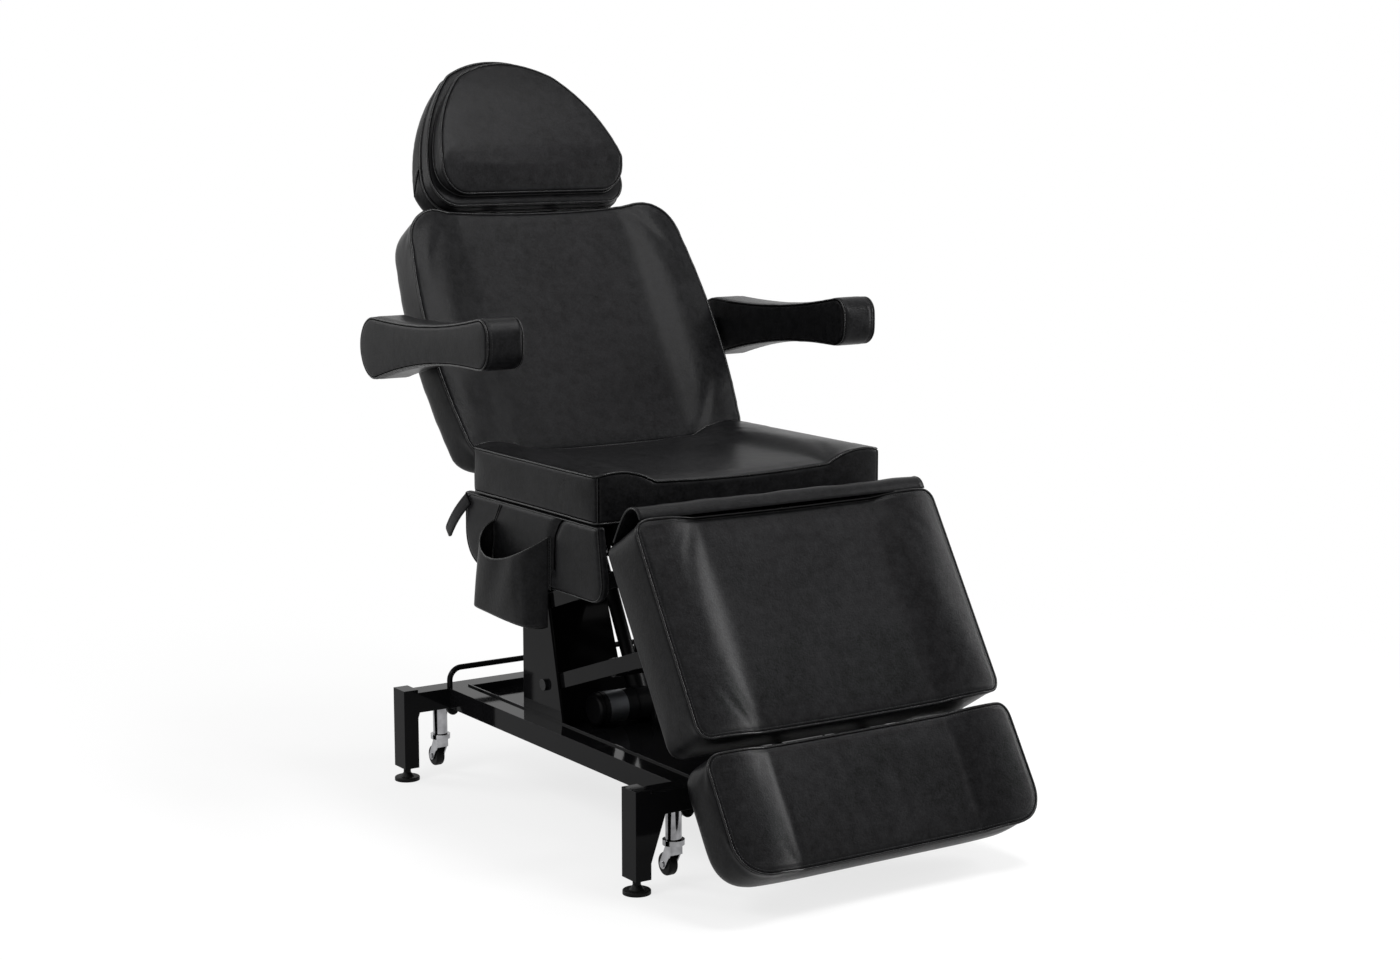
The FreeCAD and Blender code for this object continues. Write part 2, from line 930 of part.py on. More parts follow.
def leg_frame_weldment(y, front):
    """A cross beam with a post at each end and a gusset in each corner."""
    beam_top = beam_low + beam_height
    inner = base_half_width - post_width
    half = cross_depth / 2
    beam = block(-inner, inner, y - half, y + half, beam_low, beam_top)
    post = block(inner, base_half_width, y - half, y + half, post_low, post_top)
    hole = rod(pt(inner + post_width / 2, y, post_low - cut_over),
               pt(inner + post_width / 2, y, foot_stem_length + foot_travel_up + cut_over),
               foot_stem_radius + foot_hole_slack)
    post = post.cut(hole)
    face = y - half if front else y + half - gusset_thick
    gusset = prism(
        [((inner, beam_low),), ((inner - gusset_width, beam_low),), ((inner, beam_low - gusset_height),)],
        lambda x, z: pt(x, face, z),
        pt(0, gusset_thick, 0),
    )
    return joined([beam] + both_sides(post) + both_sides(gusset))


def base_rails():
    """The two long tubes between the cross beams."""
    front = front_beam_y + cross_depth / 2
    rear = rear_beam_y - cross_depth / 2
    rail = block(rail_outer - rail_width, rail_outer, front, rear, beam_low, beam_low + beam_height)
    return both_sides(rail)


def base_tray():
    """The sheet tray between the rails, with a lip along each of them."""
    half = rail_outer - rail_width
    front = front_beam_y + cross_depth / 2
    rear = rear_beam_y - cross_depth / 2
    top = beam_low + beam_height - tray_drop
    floor = block(-half, half, front, rear, top - tray_sheet, top)
    lip = block(half - tray_sheet, half, front, rear, top - tray_sheet,
                beam_low + beam_height + tray_lip)
    return joined([floor, lift_bracket()] + both_sides(lip))


def rear_loop_bar():
    """The low round bar across the rear of the base."""
    foot = beam_low + beam_height
    share = 1 - math.sqrt(0.5)
    edges = [
        Part.LineSegment(pt(-loop_x, loop_y, foot), pt(-loop_x, loop_y, loop_top - loop_bend)),
        Part.Arc(
            pt(-loop_x, loop_y, loop_top - loop_bend),
            pt(-loop_x + loop_bend * share, loop_y, loop_top - loop_bend * share),
            pt(-loop_x + loop_bend, loop_y, loop_top),
        ),
        Part.LineSegment(pt(-loop_x + loop_bend, loop_y, loop_top),
                         pt(loop_x - loop_bend, loop_y, loop_top)),
        Part.Arc(
            pt(loop_x - loop_bend, loop_y, loop_top),
            pt(loop_x - loop_bend * share, loop_y, loop_top - loop_bend * share),
            pt(loop_x, loop_y, loop_top - loop_bend),
        ),
        Part.LineSegment(pt(loop_x, loop_y, loop_top - loop_bend), pt(loop_x, loop_y, foot)),
    ]
    path = Part.Wire([edge.toShape() for edge in edges])
    ring = Part.Wire([Part.makeCircle(loop_radius, pt(-loop_x, loop_y, foot), pt(0, 0, 1))])
    return path.makePipeShell([ring], True, False)


def levelling_foot(side, y):
    """A disc with a neck and a screw that turns up into its post."""
    x = side * (base_half_width - post_width / 2)
    disc = rod(pt(x, y, 0), pt(x, y, foot_disc_height), foot_disc_radius)
    disc = rounded(disc, foot_disc_height / 3, lies_at(foot_disc_height, 2))
    neck = Part.makeCone(foot_neck_radius, foot_stem_radius, foot_neck_height - foot_disc_height,
                         pt(x, y, foot_disc_height), pt(0, 0, 1))
    stem = rod(pt(x, y, foot_neck_height), pt(x, y, foot_stem_length), foot_stem_radius)
    return joined([disc, neck, stem])


def caster_stems():
    """The four chrome stems, each with the fixed half of its swivel."""
    stems = []
    for y in (front_beam_y, rear_beam_y):
        for side in (-1, 1):
            x = side * caster_x
            stem = rod(pt(x, y, caster_stem_low), pt(x, y, beam_low), caster_stem_radius)
            pin = rod(pt(x, y, caster_stem_low - caster_cup_height), pt(x, y, caster_stem_low),
                      caster_pin_radius)
            stems.append(joined([stem, pin]))
    return stems


def caster_fork(side, y):
    """A swivel cup and two cheeks that carry the axle, trailing behind the stem."""
    x = side * caster_x
    axle_y = y + wheel_trail
    top = caster_stem_low - swivel_gap
    low = top - caster_cup_height
    cup = rod(pt(x, y, low), pt(x, y, top), caster_cup_radius)
    cup = cup.cut(rod(pt(x, y, low - cut_over), pt(x, y, top + cut_over),
                      caster_pin_radius + running_fit))
    pieces = [cup]
    near = wheel_width / 2 + fork_gap
    roof_low = wheel_height + wheel_radius + 2 * fork_gap
    for cheek in (-1, 1):
        x0 = x + cheek * near
        x1 = x0 + cheek * fork_plate
        pieces.append(link(x0, x1, (axle_y, wheel_height), (y, (low + roof_low) / 2),
                           axle_head_radius + fork_plate, caster_cup_radius / 2))
    roof = block(x - near - fork_plate, x + near + fork_plate, y - caster_cup_radius / 2,
                 y + caster_cup_radius / 2, roof_low, low)
    roof = roof.cut(rod(pt(x, y, roof_low - cut_over), pt(x, y, low + cut_over),
                        caster_pin_radius + running_fit))
    pieces.append(roof)
    outer = near + fork_plate + axle_head
    axle = x_rod(x - near - fork_plate, x + near + fork_plate, axle_y, wheel_height, axle_radius)
    heads = [x_rod(x - outer, x - near, axle_y, wheel_height, axle_head_radius),
             x_rod(x + near, x + outer, axle_y, wheel_height, axle_head_radius)]
    return joined(pieces + [axle] + heads)


def caster_wheel(side, y):
    """A wheel with rounded shoulders, bored for its axle."""
    x = side * caster_x
    axle_y = y + wheel_trail
    half = wheel_width / 2
    tyre = x_rod(x - half, x + half, axle_y, wheel_height, wheel_radius)
    tyre = rounded(tyre, wheel_round, lambda e: lies_at(x - half, 0)(e) or lies_at(x + half, 0)(e))
    return drilled(tyre, axle_y, wheel_height, axle_radius + running_fit, x - half, x + half)


def caster_clamps():
    """Four round-ended lugs with their screws, under the cross beams beside the casters."""
    solids = []
    for y in (front_beam_y, rear_beam_y):
        for side in (-1, 1):
            x = side * clamp_x
            half = clamp_width / 2
            low = beam_low - clamp_drop
            bend = half * (1 - math.sqrt(0.5))
            lug = prism(
                [
                    ((x - half, beam_low),),
                    ((x - half, low + half),),
                    ((x - half + bend, low + bend), (x, low)),
                    ((x + half - bend, low + bend), (x + half, low + half)),
                    ((x + half, beam_low),),
                ],
                lambda px, pz: pt(px, y - clamp_thick / 2, pz),
                pt(0, clamp_thick, 0),
            )
            head = y - clamp_thick / 2
            screw = rod(pt(x, head, low + half), pt(x, head - clamp_screw_length, low + half),
                        clamp_screw_radius)
            solids.append(joined([lug, screw]))
    return solids


def column_outline():
    """A column side plate in (y, z): upright behind, sloping in front, with a round top."""
    foot = beam_low + beam_height - tray_drop
    top = column_top
    corner = column_corner
    bend = corner * (1 - math.sqrt(0.5))
    return [
        ((column_rear, foot),),
        ((column_rear, top - corner),),
        ((column_rear - bend, top - bend), (column_rear - corner, top)),
        ((column_front_top + corner, top),),
        ((column_front_top + bend, top - bend), (column_front_top, top - corner)),
        ((column_front_low, foot),),
    ]


def lift_column():
    """Two side plates and a rear web with a slot for the lift actuator."""
    inner = column_inner
    plate = side_prism(column_outline(), inner, inner + column_plate)
    for y, z in ((lower_pivot_y, lower_pivot_z), (upper_pivot_y, upper_pivot_z)):
        plate = drilled(plate, y, z, pivot_radius + running_fit, inner, inner + column_plate)
    foot = beam_low + beam_height - tray_drop
    web = block(-inner, inner, column_rear - web_thick, column_rear, foot, column_top - column_corner)
    slot = prism(
        [
            ((-slot_top_half, column_top),),
            ((-slot_low_half, slot_low),),
            ((0, slot_low - slot_low_half), (slot_low_half, slot_low)),
            ((slot_top_half, column_top),),
        ],
        lambda x, z: pt(x, column_rear - web_thick - cut_over, z),
        pt(0, web_thick + 2 * cut_over, 0),
    )
    return joined([web.cut(slot)] + both_sides(plate))


def column_pivot_bolts():
    """The four bolts that the lift arms swing on."""
    bolts = []
    outer = column_inner + column_plate
    inner = lift_arm_x - bolt_inner
    for y, z in ((lower_pivot_y, lower_pivot_z), (upper_pivot_y, upper_pivot_z)):
        shank = x_rod(inner, outer, y, z, pivot_radius)
        head = x_rod(outer, outer + bolt_head, y, z, bolt_head_radius)
        bolts += both_sides(joined([shank, head]))
    return bolts


# Lift arms and seat frame


def lift_end(y, z):
    """The seat end of a lift arm that starts at (y, z)."""
    angle = math.radians(lift_angle)
    return y - lift_length * math.cos(angle), z + lift_length * math.sin(angle)


def lift_arm(y, z):
    """One arm, bored at both ends, on the sitter's left."""
    end = lift_end(y, z)
    x0 = lift_arm_x
    x1 = lift_arm_x + lift_arm_width
    arm = link(x0, x1, (y, z), end, lift_arm_half, lift_arm_half)
    arm = drilled(arm, y, z, pivot_radius + running_fit, x0, x1)
    return drilled(arm, end[0], end[1], pivot_radius + running_fit, x0, x1)


def lower_lift_frame():
    """The two lower arms, welded to a round cross tube."""
    arms = both_sides(lift_arm(lower_pivot_y, lower_pivot_z))
    end = lift_end(lower_pivot_y, lower_pivot_z)
    share = lift_cross_share
    y = lower_pivot_y + (end[0] - lower_pivot_y) * share
    z = lower_pivot_z + (end[1] - lower_pivot_z) * share
    cross = x_rod(-lift_arm_x, lift_arm_x, y, z, lift_cross_radius)
    return joined(arms + [cross])


def upper_lift_links():
    """The two upper arms, which keep the seat level."""
    return both_sides(lift_arm(upper_pivot_y, upper_pivot_z))


def clevis(x, y, z, radius, tail_y, tail_z):
    """Two ears round an actuator eye, reaching to the bar that they are welded to."""
    ears = []
    for side in (-1, 1):
        x0 = x + side * (actuator_eye_width / 2 + clevis_gap)
        x1 = x0 + side * clevis_plate
        ears.append(link(x0, x1, (y, z), (tail_y, tail_z), radius, radius))
    return ears


def seat_hanger():
    """One hanger plate with its two studs, on the sitter's left."""
    lower = lift_end(lower_pivot_y, lower_pivot_z)
    upper = lift_end(upper_pivot_y, upper_pivot_z)
    x0 = hanger_x
    x1 = hanger_x + hanger_plate
    high = seat_bottom - frame_tube / 2
    wide = (hanger_top_rear - hanger_top_front) / 2
    head = ((hanger_top_front + hanger_top_rear) / 2, high)
    plate = joined([
        link(x0, x1, lower, upper, hanger_eye, hanger_waist),
        link(x0, x1, upper, head, hanger_waist, wide),
    ])
    roof = block(x0 - cut_over, x1 + cut_over, head[0] - 2 * wide, head[0] + 2 * wide,
                 seat_bottom - cut_over, seat_bottom + 2 * wide)
    plate = plate.cut(roof)
    studs = []
    for y, z in (lower, upper):
        studs.append(x_rod(x1, lift_arm_x + lift_arm_width, y, z, pivot_radius))
    return joined([plate] + studs)


def seat_frame():
    """The welded frame under the seat, with all its hangers, lugs and ears."""
    high = seat_bottom
    low = seat_bottom - frame_tube
    inner = frame_rail_x - frame_rail_width
    rail = block(inner, frame_rail_x, frame_front, frame_rear, low, high)
    pieces = both_sides(rail)
    for y in (frame_front, middle_bar_y, rear_bar_y):
        pieces.append(block(-inner, inner, y, y + cross_bar, low, high))
    pieces += both_sides(seat_hanger())
    back_lug = link(lug_x, lug_x + lug_plate, (hinge_y, hinge_z), (frame_rear, hinge_z),
                    hinge_eye, hinge_eye - cut_over)
    back_lug = back_lug.cut(block(lug_x - cut_over, lug_x + lug_plate + cut_over,
                                  frame_front, seat_rear + cut_over, high, high + frame_tube))
    back_pin = x_rod(hinge_arm_x - bolt_inner, lug_x, hinge_y, hinge_z, hinge_pin)
    pieces += both_sides(joined([back_lug, back_pin]))
    leg_lug = link(leg_lug_x, leg_lug_x + lug_plate, (leg_hinge_y, leg_hinge_z),
                   (frame_front + cross_bar / 2, low + hinge_eye), leg_ear_eye, leg_ear_eye)
    ear_end = leg_lug_x - leg_ear_plate - bolt_inner - rest_gap
    leg_pin = x_rod(ear_end, leg_lug_x, leg_hinge_y, leg_hinge_z, hinge_pin)
    pieces += both_sides(joined([leg_lug, leg_pin]))
    bar_mid = rear_bar_y + cross_bar / 2
    pieces += clevis(lift_actuator_x, lift_top_y, lift_top_z, clevis_eye, bar_mid, low + clevis_eye)
    middle = middle_bar_y + cross_bar / 2
    reach = actuator_eye_width / 2 + clevis_gap + clevis_plate / 2
    for x, y, z in (
        (back_actuator_x, back_base_y, back_base_z),
        (leg_actuator_x, leg_base_y, leg_base_z),
    ):
        pieces += clevis(x, y, z, clevis_eye, middle, low + clevis_eye)
        pieces.append(x_rod(x - reach, x + reach, y, z, actuator_pin))
    return joined(pieces)


def side_panel():
    """An upholstered side panel under the seat, on the sitter's left."""
    corner = apron_front_corner
    bend = corner * (1 - math.sqrt(0.5))
    tail = apron_rear_round
    sweep = tail * (1 - math.sqrt(0.5))
    steps = [
        ((apron_rear, seat_bottom),),
        ((apron_rear, apron_low + tail),),
        ((apron_rear - sweep, apron_low + sweep), (apron_rear - tail, apron_low)),
        ((apron_front + corner, apron_low),),
        ((apron_front + bend, apron_low + bend), (apron_front, apron_low + corner)),
        ((apron_front_top, seat_bottom),),
    ]
    shape = side_prism(steps, apron_outer - apron_thick, apron_outer)
    return rounded(shape, apron_edge_round, lies_at(apron_outer, 0))


def side_pocket():
    """The open bag on the right side panel, with its curved mouth."""
    outer = -apron_outer - pocket_depth
    back = -apron_outer
    skin = pocket_wall
    low = pocket_low
    high = pocket_top
    rise = pocket_bottom_rise
    outline = [
        ((pocket_front, high),),
        ((pocket_front, low + rise),),
        (((pocket_front + pocket_rear) / 2, low), (pocket_rear, low + rise)),
        ((pocket_rear, high),),
    ]
    room = [
        ((pocket_front + skin, high + cut_over),),
        ((pocket_front + skin, low + rise + skin),),
        (((pocket_front + pocket_rear) / 2, low + skin), (pocket_rear - skin, low + rise + skin)),
        ((pocket_rear - skin, high + cut_over),),
    ]
    shape = side_prism(outline, outer, back)
    shape = rounded(shape, 2 * skin, lies_at(outer, 0))
    shape = shape.cut(side_prism(room, outer + skin, back - skin))
    middle = (mouth_front + mouth_rear) / 2
    mouth = side_prism(
        [
            ((pocket_front + skin, high + cut_over),),
            ((pocket_front + skin, mouth_top),),
            ((middle, mouth_low), (pocket_rear - skin, mouth_top)),
            ((pocket_rear - skin, high + cut_over),),
        ],
        outer - cut_over,
        outer + 2 * skin,
    )
    return shape.cut(mouth)


def pull_strap():
    """The flat strap at the seat's right rear corner."""
    length = math.hypot(strap_run, strap_drop)
    across = (strap_drop / length * strap_width / 2, strap_run / length * strap_width / 2)
    start = (strap_top_y, seat_bottom - strap_width / 2)
    end = (start[0] + strap_run, start[1] - strap_drop)
    steps = [
        ((start[0] - across[0], start[1] - across[1]),),
        ((end[0] - across[0], end[1] - across[1]),),
        ((end[0] + across[0], end[1] + across[1]),),
        ((start[0] + across[0], start[1] + across[1]),),
    ]
    strap = side_prism(steps, -strap_x - strap_thick, -strap_x)
    tab = block(-strap_x - strap_thick, -strap_x, strap_top_y - strap_width, strap_top_y + across[0],
                start[1] - across[1], seat_bottom)
    return joined([strap, tab])


# Leg frame and foot rest slides


def leg_frame():
    """Two bars behind the calf cushion, their ears, the actuator lever and the slide tubes."""
    rear = leg_thick + leg_bar_depth
    pivot = in_leg(leg_hinge_y, leg_hinge_z)
    pieces = []
    ear_x = leg_lug_x - rest_gap - leg_ear_plate
    bar = block(leg_bar_x - leg_bar_width / 2, leg_bar_x + leg_bar_width / 2, leg_thick, rear,
                -leg_length + leg_bar_top, -leg_bar_top - 2 * leg_ear_eye)
    ear = link(ear_x, ear_x + leg_ear_plate, pivot,
               (leg_thick + leg_bar_depth / 2, pivot[1] - 4 * leg_ear_eye), leg_ear_eye,
               leg_bar_depth / 2)
    ear = drilled(ear, pivot[0], pivot[1], hinge_pin + running_fit, ear_x, ear_x + leg_ear_plate)
    pieces += both_sides(joined([bar, ear]))
    lever = in_leg(leg_lever_y, leg_lever_z)
    tie_low = lever[1] - leg_bar_width
    tie_high = tie_low + leg_bar_width
    half = leg_bar_x
    pieces.append(block(-half, half, leg_thick, rear, tie_low, tie_high))
    for side in (-1, 1):
        x0 = leg_actuator_x + side * (actuator_eye_width / 2 + clevis_gap)
        x1 = x0 + side * clevis_plate
        pieces.append(link(x0, x1, lever, (leg_thick + leg_bar_depth / 2, tie_low + leg_bar_width / 2),
                           lever_eye, leg_bar_depth / 2))
    outer = slide_radius + running_fit + slide_wall
    depth = leg_thick + slide_depth
    low = -leg_length + leg_bar_top
    for side in (-1, 1):
        x = side * slide_x
        guide = rod(pt(x, depth, low), pt(x, depth, low + slide_tube_length), outer)
        tie = block(*sorted((x, side * leg_bar_x)), leg_thick, leg_thick + slide_plate, low,
                    low + slide_tube_length)
        guide = joined([guide, tie])
        bore = rod(pt(x, depth, low - cut_over), pt(x, depth, low + slide_tube_length + cut_over),
                   slide_radius + running_fit)
        flat = block(x - 2 * outer, x + 2 * outer, leg_thick - 2 * outer, leg_thick, low - cut_over,
                     low + slide_tube_length + cut_over)
        pieces.append(guide.cut(flat).cut(bore))
    return on_leg(joined(pieces).cut(slide_bores()))


def slide_bores():
    """The clear bores of both slide tubes, in the leg rest's frame."""
    depth = leg_thick + slide_depth
    low = -leg_length
    bores = []
    for side in (-1, 1):
        x = side * slide_x
        bores.append(rod(pt(x, depth, low - cut_over), pt(x, depth, low + slide_tube_length
                                                            + leg_bar_top + cut_over),
                         slide_radius + running_fit))
    return Part.makeCompound(bores)


def foot_slide_bars():
    """Two chrome rods with flat tails screwed to the back of the foot cushion."""
    depth = leg_thick + slide_depth
    top = -leg_length - foot_gap
    start = -leg_length + foot_travel + slide_grip
    bars = []
    for side in (-1, 1):
        x = side * slide_x
        low = top - foot_length * 2 / 3
        shaft = rod(pt(x, depth, low), pt(x, depth, start), slide_radius)
        pad = block(x - slide_radius, x + slide_radius, foot_thick, depth, low, top - slide_radius)
        bars.append(on_leg(joined([shaft, pad])))
    return bars


# Actuators


def along(base, top, distance):
    """A point on the line from base to top, in (y, z)."""
    length = math.hypot(top[0] - base[0], top[1] - base[1])
    return (base[0] + (top[0] - base[0]) * distance / length,
            base[1] + (top[1] - base[1]) * distance / length)


def actuator(x, base, top, closing, opening):
    """An actuator that can close and open from its length at rest: its outer part before the rod's
    bore is cut, that bore, and the rod."""
    length = math.hypot(top[0] - base[0], top[1] - base[1])
    half = actuator_eye_width / 2

    def here(distance):
        """A point on the actuator's axis."""
        y, z = along(base, top, distance)
        return pt(x, y, z)

    tube_end = length - closing - actuator_tube_short
    start = actuator_housing_start
    eye = x_rod(x - half, x + half, base[0], base[1], actuator_eye)
    neck = rod(here(0), here(start + cut_over), actuator_neck)
    housing = rod(here(start), here(start + actuator_housing_length), actuator_housing)
    tube = rod(here(start), here(tube_end), actuator_tube)
    inside = tube_end - opening - actuator_grip
    bore = rod(here(inside - closing - actuator_end_gap), here(length - closing), actuator_bore)
    shaft = rod(here(inside), here(length - actuator_eye / 2), actuator_rod)
    rod_eye = x_rod(x - half, x + half, top[0], top[1], actuator_eye)
    return joined([eye, neck, housing, tube]), bore, joined([shaft, rod_eye])


def pin_bore(x0, x1, base):
    """The bore for a base pin."""
    return x_rod(x0, x1, base[0], base[1], actuator_pin + running_fit)


def small_actuator(x, side, base, top, closing, opening):
    """An actuator with its small motor beside the tube, on one side of it."""
    body, bore, shaft = actuator(x, base, top, closing, opening)
    offset = side * (actuator_housing + small_motor_radius - small_motor_inset)
    half = actuator_eye_width / 2
    low = along(base, top, actuator_housing_start)
    high = along(base, top, actuator_housing_start + small_motor_length)
    motor = rod(pt(x + offset, *low), pt(x + offset, *high), small_motor_radius)
    body = joined([body, motor]).cut(bore)
    return body.cut(pin_bore(x - half - cut_over, x + half + cut_over, base)), shaft


def lift_barrel_ends():
    """Where the lift actuator's barrel starts and ends along X."""
    start = lift_actuator_x - actuator_eye_width / 2 - motor_plate
    return start, lift_actuator_x + actuator_eye_width / 2


def lift_actuator():
    """The lift actuator, with a wide barrel that its motor is bolted to."""
    base = (lift_motor_y, lift_motor_z)
    top = (lift_top_y, lift_top_z)
    body, bore, shaft = actuator(lift_actuator_x, base, top, lift_closing, lift_opening)
    start, end = lift_barrel_ends()
    barrel = x_rod(start, end, base[0], base[1], actuator_housing + motor_plate)
    body = joined([body, barrel]).cut(bore)
    return body.cut(pin_bore(start + motor_plate, end + cut_over, base)), shaft


def lift_motor():
    """The lift motor, beside the barrel and in line with its pin."""
    end = lift_barrel_ends()[0]
    body = x_rod(end - motor_length, end, lift_motor_y, lift_motor_z, motor_radius)
    return rounded(body, motor_plate / 2, lies_at(end - motor_length, 0))


def lift_bracket():
    """The bracket on the tray with the pin that the lift actuator swings on."""
    base = (lift_motor_y, lift_motor_z)
    start, end = lift_barrel_ends()
    inner = end + clevis_gap
    floor = beam_low + beam_height - tray_drop
    plate = link(inner, inner + bracket_plate, base, (base[0], floor), clevis_eye, 2 * clevis_eye)
    plate = plate.cut(block(inner - cut_over, inner + bracket_plate + cut_over,
                            base[0] - 3 * clevis_eye, base[0] + 3 * clevis_eye, 0, floor))
    pin = x_rod(start + motor_plate + rest_gap, inner, base[0], base[1], actuator_pin)
    return joined([plate, pin])


# Control box and handset


def control_box():
    """The control box, hung under the middle bar, with its bare mains inlet behind."""
    high = seat_bottom - frame_tube
    rear = control_front + control_length
    shape = block(control_x, control_x + control_width, control_front, rear,
                  high - control_height, high)
    shape = rounded(shape, control_round, stands(2))
    mid_x = control_x + control_width / 2
    mid_z = high - control_height / 2
    inlet = block(mid_x - inlet_width / 2, mid_x + inlet_width / 2, rear - inlet_depth,
                  rear + cut_over, mid_z - inlet_height / 2, mid_z + inlet_height / 2)
    return shape.cut(inlet)


def handset_steps():
    """The handset's outline in (y, z): round ends and a slight waist."""
    wide = handset_half_width
    waist = handset_waist_half
    low = handset_low
    high = handset_low + handset_length
    y = handset_y
    middle = (low + high) / 2
    return [
        ((y - wide, low + wide),),
        ((y, low), (y + wide, low + wide)),
        ((y + waist, middle), (y + wide, high - wide)),
        ((y, high), (y - wide, high - wide)),
        ((y - waist, middle), (y - wide, low + wide)),
    ]


def rounded_key(y, z, width, tall, slack):
    """A key's outline in (y, z), with round corners."""
    half = width / 2 + slack
    low = z - tall / 2 - slack
    high = z + tall / 2 + slack
    steps = box_steps(half, low, high, key_corner, key_corner)
    return [tuple((y + p[0], p[1]) for p in step) for step in steps]


def rocker_key(y, z, up, slack):
    """A dome-shaped key's outline in (y, z), round side up or down."""
    half = rocker_width / 2 + slack
    flat = z - up * (rocker_tall / 2 + slack)
    crown = z + up * (rocker_tall / 2 + slack)
    shoulder = z - up * rocker_tall / 6
    return [
        ((y - half, flat),),
        ((y + half, flat),),
        ((y + half, shoulder),),
        ((y, crown), (y - half, shoulder)),
    ]


def key_outlines(slack):
    """Each key's name and outline."""
    y = handset_y
    base = handset_low
    return {
        "key_back_down": rounded_key(y - key_spread, base + key_top_up, key_width, key_tall, slack),
        "key_back_up": rounded_key(y + key_spread, base + key_top_up, key_width, key_tall, slack),
        "key_seat_up": rocker_key(y, base + key_raise_up, 1, slack),
        "key_seat_down": rocker_key(y, base + key_lower_up, -1, slack),
        "key_leg_down": rounded_key(y - key_spread, base + key_leg_up, key_width, key_tall, slack),
        "key_leg_up": rounded_key(y + key_spread, base + key_leg_up, key_width, key_tall, slack),
    }


def handset_face():
    """How far out the handset's front face stands."""
    return apron_outer + holder_plate + rest_gap + handset_thick


def handset_shell():
    """The handset's housing with a pocket for each key, and its strain relief below."""
    face = handset_face()
    shape = side_prism(handset_steps(), face - handset_thick, face)
    shape = rounded(shape, handset_round, lies_at(face, 0))
    floor = face + key_proud - key_height - key_travel - key_floor_gap
    for steps in key_outlines(key_slack).values():
        shape = shape.cut(side_prism(steps, floor, face + cut_over))
    x = cord_lane
    relief = Part.makeCone(relief_narrow, relief_wide, relief_length,
                           pt(x, handset_y, handset_low - relief_length), pt(0, 0, 1))
    root = rod(pt(x, handset_y, handset_low), pt(x, handset_y, handset_low + relief_wide), relief_wide)
    return joined([shape, relief, root])


def keys():
    """The six keys."""
    top = handset_face() + key_proud
    return {name: side_prism(steps, top - key_height, top) for name, steps in key_outlines(0).items()}


def handset_holder():
    """The holder on the side panel: a plate with two wings and a top tab, and the cord's gland."""
    x0 = apron_outer
    x1 = apron_outer + holder_plate
    low = handset_low + holder_low
    high = handset_low + holder_high
    half = handset_half_width + rest_gap
    y = handset_y
    plate = block(x0, x1, y - half - holder_wing, y + half + holder_wing, low, high)
    wing = block(x0, x1 + holder_wing_depth, y + half, y + half + holder_wing, low, high)
    other = block(x0, x1 + holder_wing_depth, y - half - holder_wing, y - half, low, high)
    top = handset_low + handset_length + rest_gap
    stem = block(x0, x1, y - holder_tab_half, y + holder_tab_half, low, top + holder_wing)
    tab = block(x0, x1 + holder_wing_depth, y - holder_tab_half, y + holder_tab_half, top,
                top + holder_wing)
    gland = block(x0, x0 + gland_depth, gland_y - gland_width / 2, gland_y + gland_width / 2,
                  gland_low, gland_low + gland_height)
    gland = rounded(gland, gland_depth / 4, stands(2))
    return [joined([plate, wing, other, stem, tab]), gland]


cord_route = [
    (313.0, 30.0, 334.0),
    (313.0, 30.0, 302.0),
    (314.0, 32.0, 258.0),
    (316.0, 37.0, 206.0),
    (318.0, 47.0, 154.0),
    (320.0, 66.0, 107.0),
    (322.0, 98.0, 73.0),
    (323.0, 141.0, 57.0),
    (323.0, 187.0, 62.0),
    (322.0, 227.0, 88.0),
    (321.0, 254.0, 130.0),
    (319.0, 270.0, 180.0),
    (317.0, 279.0, 234.0),
    (315.5, 283.0, 290.0),
    (314.0, 284.5, 346.0),
    (313.3, 285.0, 392.0),
    (313.0, 285.0, 430.0),
    (313.0, 285.0, 465.0),
]
cord_bend_share = 0.45


def cord_path(points):
    """The cord's line: straight runs joined by tangent arcs, and its smallest radius."""
    edges = []
    radii = []
    here = points[0]
    for before, corner, after in zip(points, points[1:], points[2:]):
        back = before.sub(corner)
        ahead = after.sub(corner)
        short = min(back.Length, ahead.Length)
        back.normalize()
        ahead.normalize()
        turn = math.pi - back.getAngle(ahead)
        if turn < 1e-4:
            continue
        trim = cord_bend_share * short
        radius = trim / math.tan(turn / 2)
        radii.append(radius)
        start = corner.add(back * trim)
        end = corner.add(ahead * trim)
        middle = back.add(ahead)
        middle.normalize()
        centre = corner.add(middle * (radius / math.cos(turn / 2)))
        mid = centre.sub(middle * radius)
        edges.append(Part.LineSegment(here, start).toShape())
        edges.append(Part.Arc(start, mid, end).toShape())
        here = end
    edges.append(Part.LineSegment(here, points[-1]).toShape())
    return Part.Wire(edges), radii


def handset_cord():
    """The handset's cord, from its strain relief to the gland."""
    points = [pt(*place) for place in cord_route]
    path, radii = cord_path(points)
    start = points[0]
    ring = Part.Wire([Part.makeCircle(cord_radius, start, points[1].sub(start))])
    tube = path.makePipeShell([ring], True, False)
    expected = math.pi * cord_radius ** 2 * path.Length
    print("cord length %.1f, smallest radius %.1f, radii %s" % (
        path.Length, min(radii), [round(r) for r in radii]))
    print("cord volume %.1f against %.1f" % (tube.Volume, expected))
    return tube


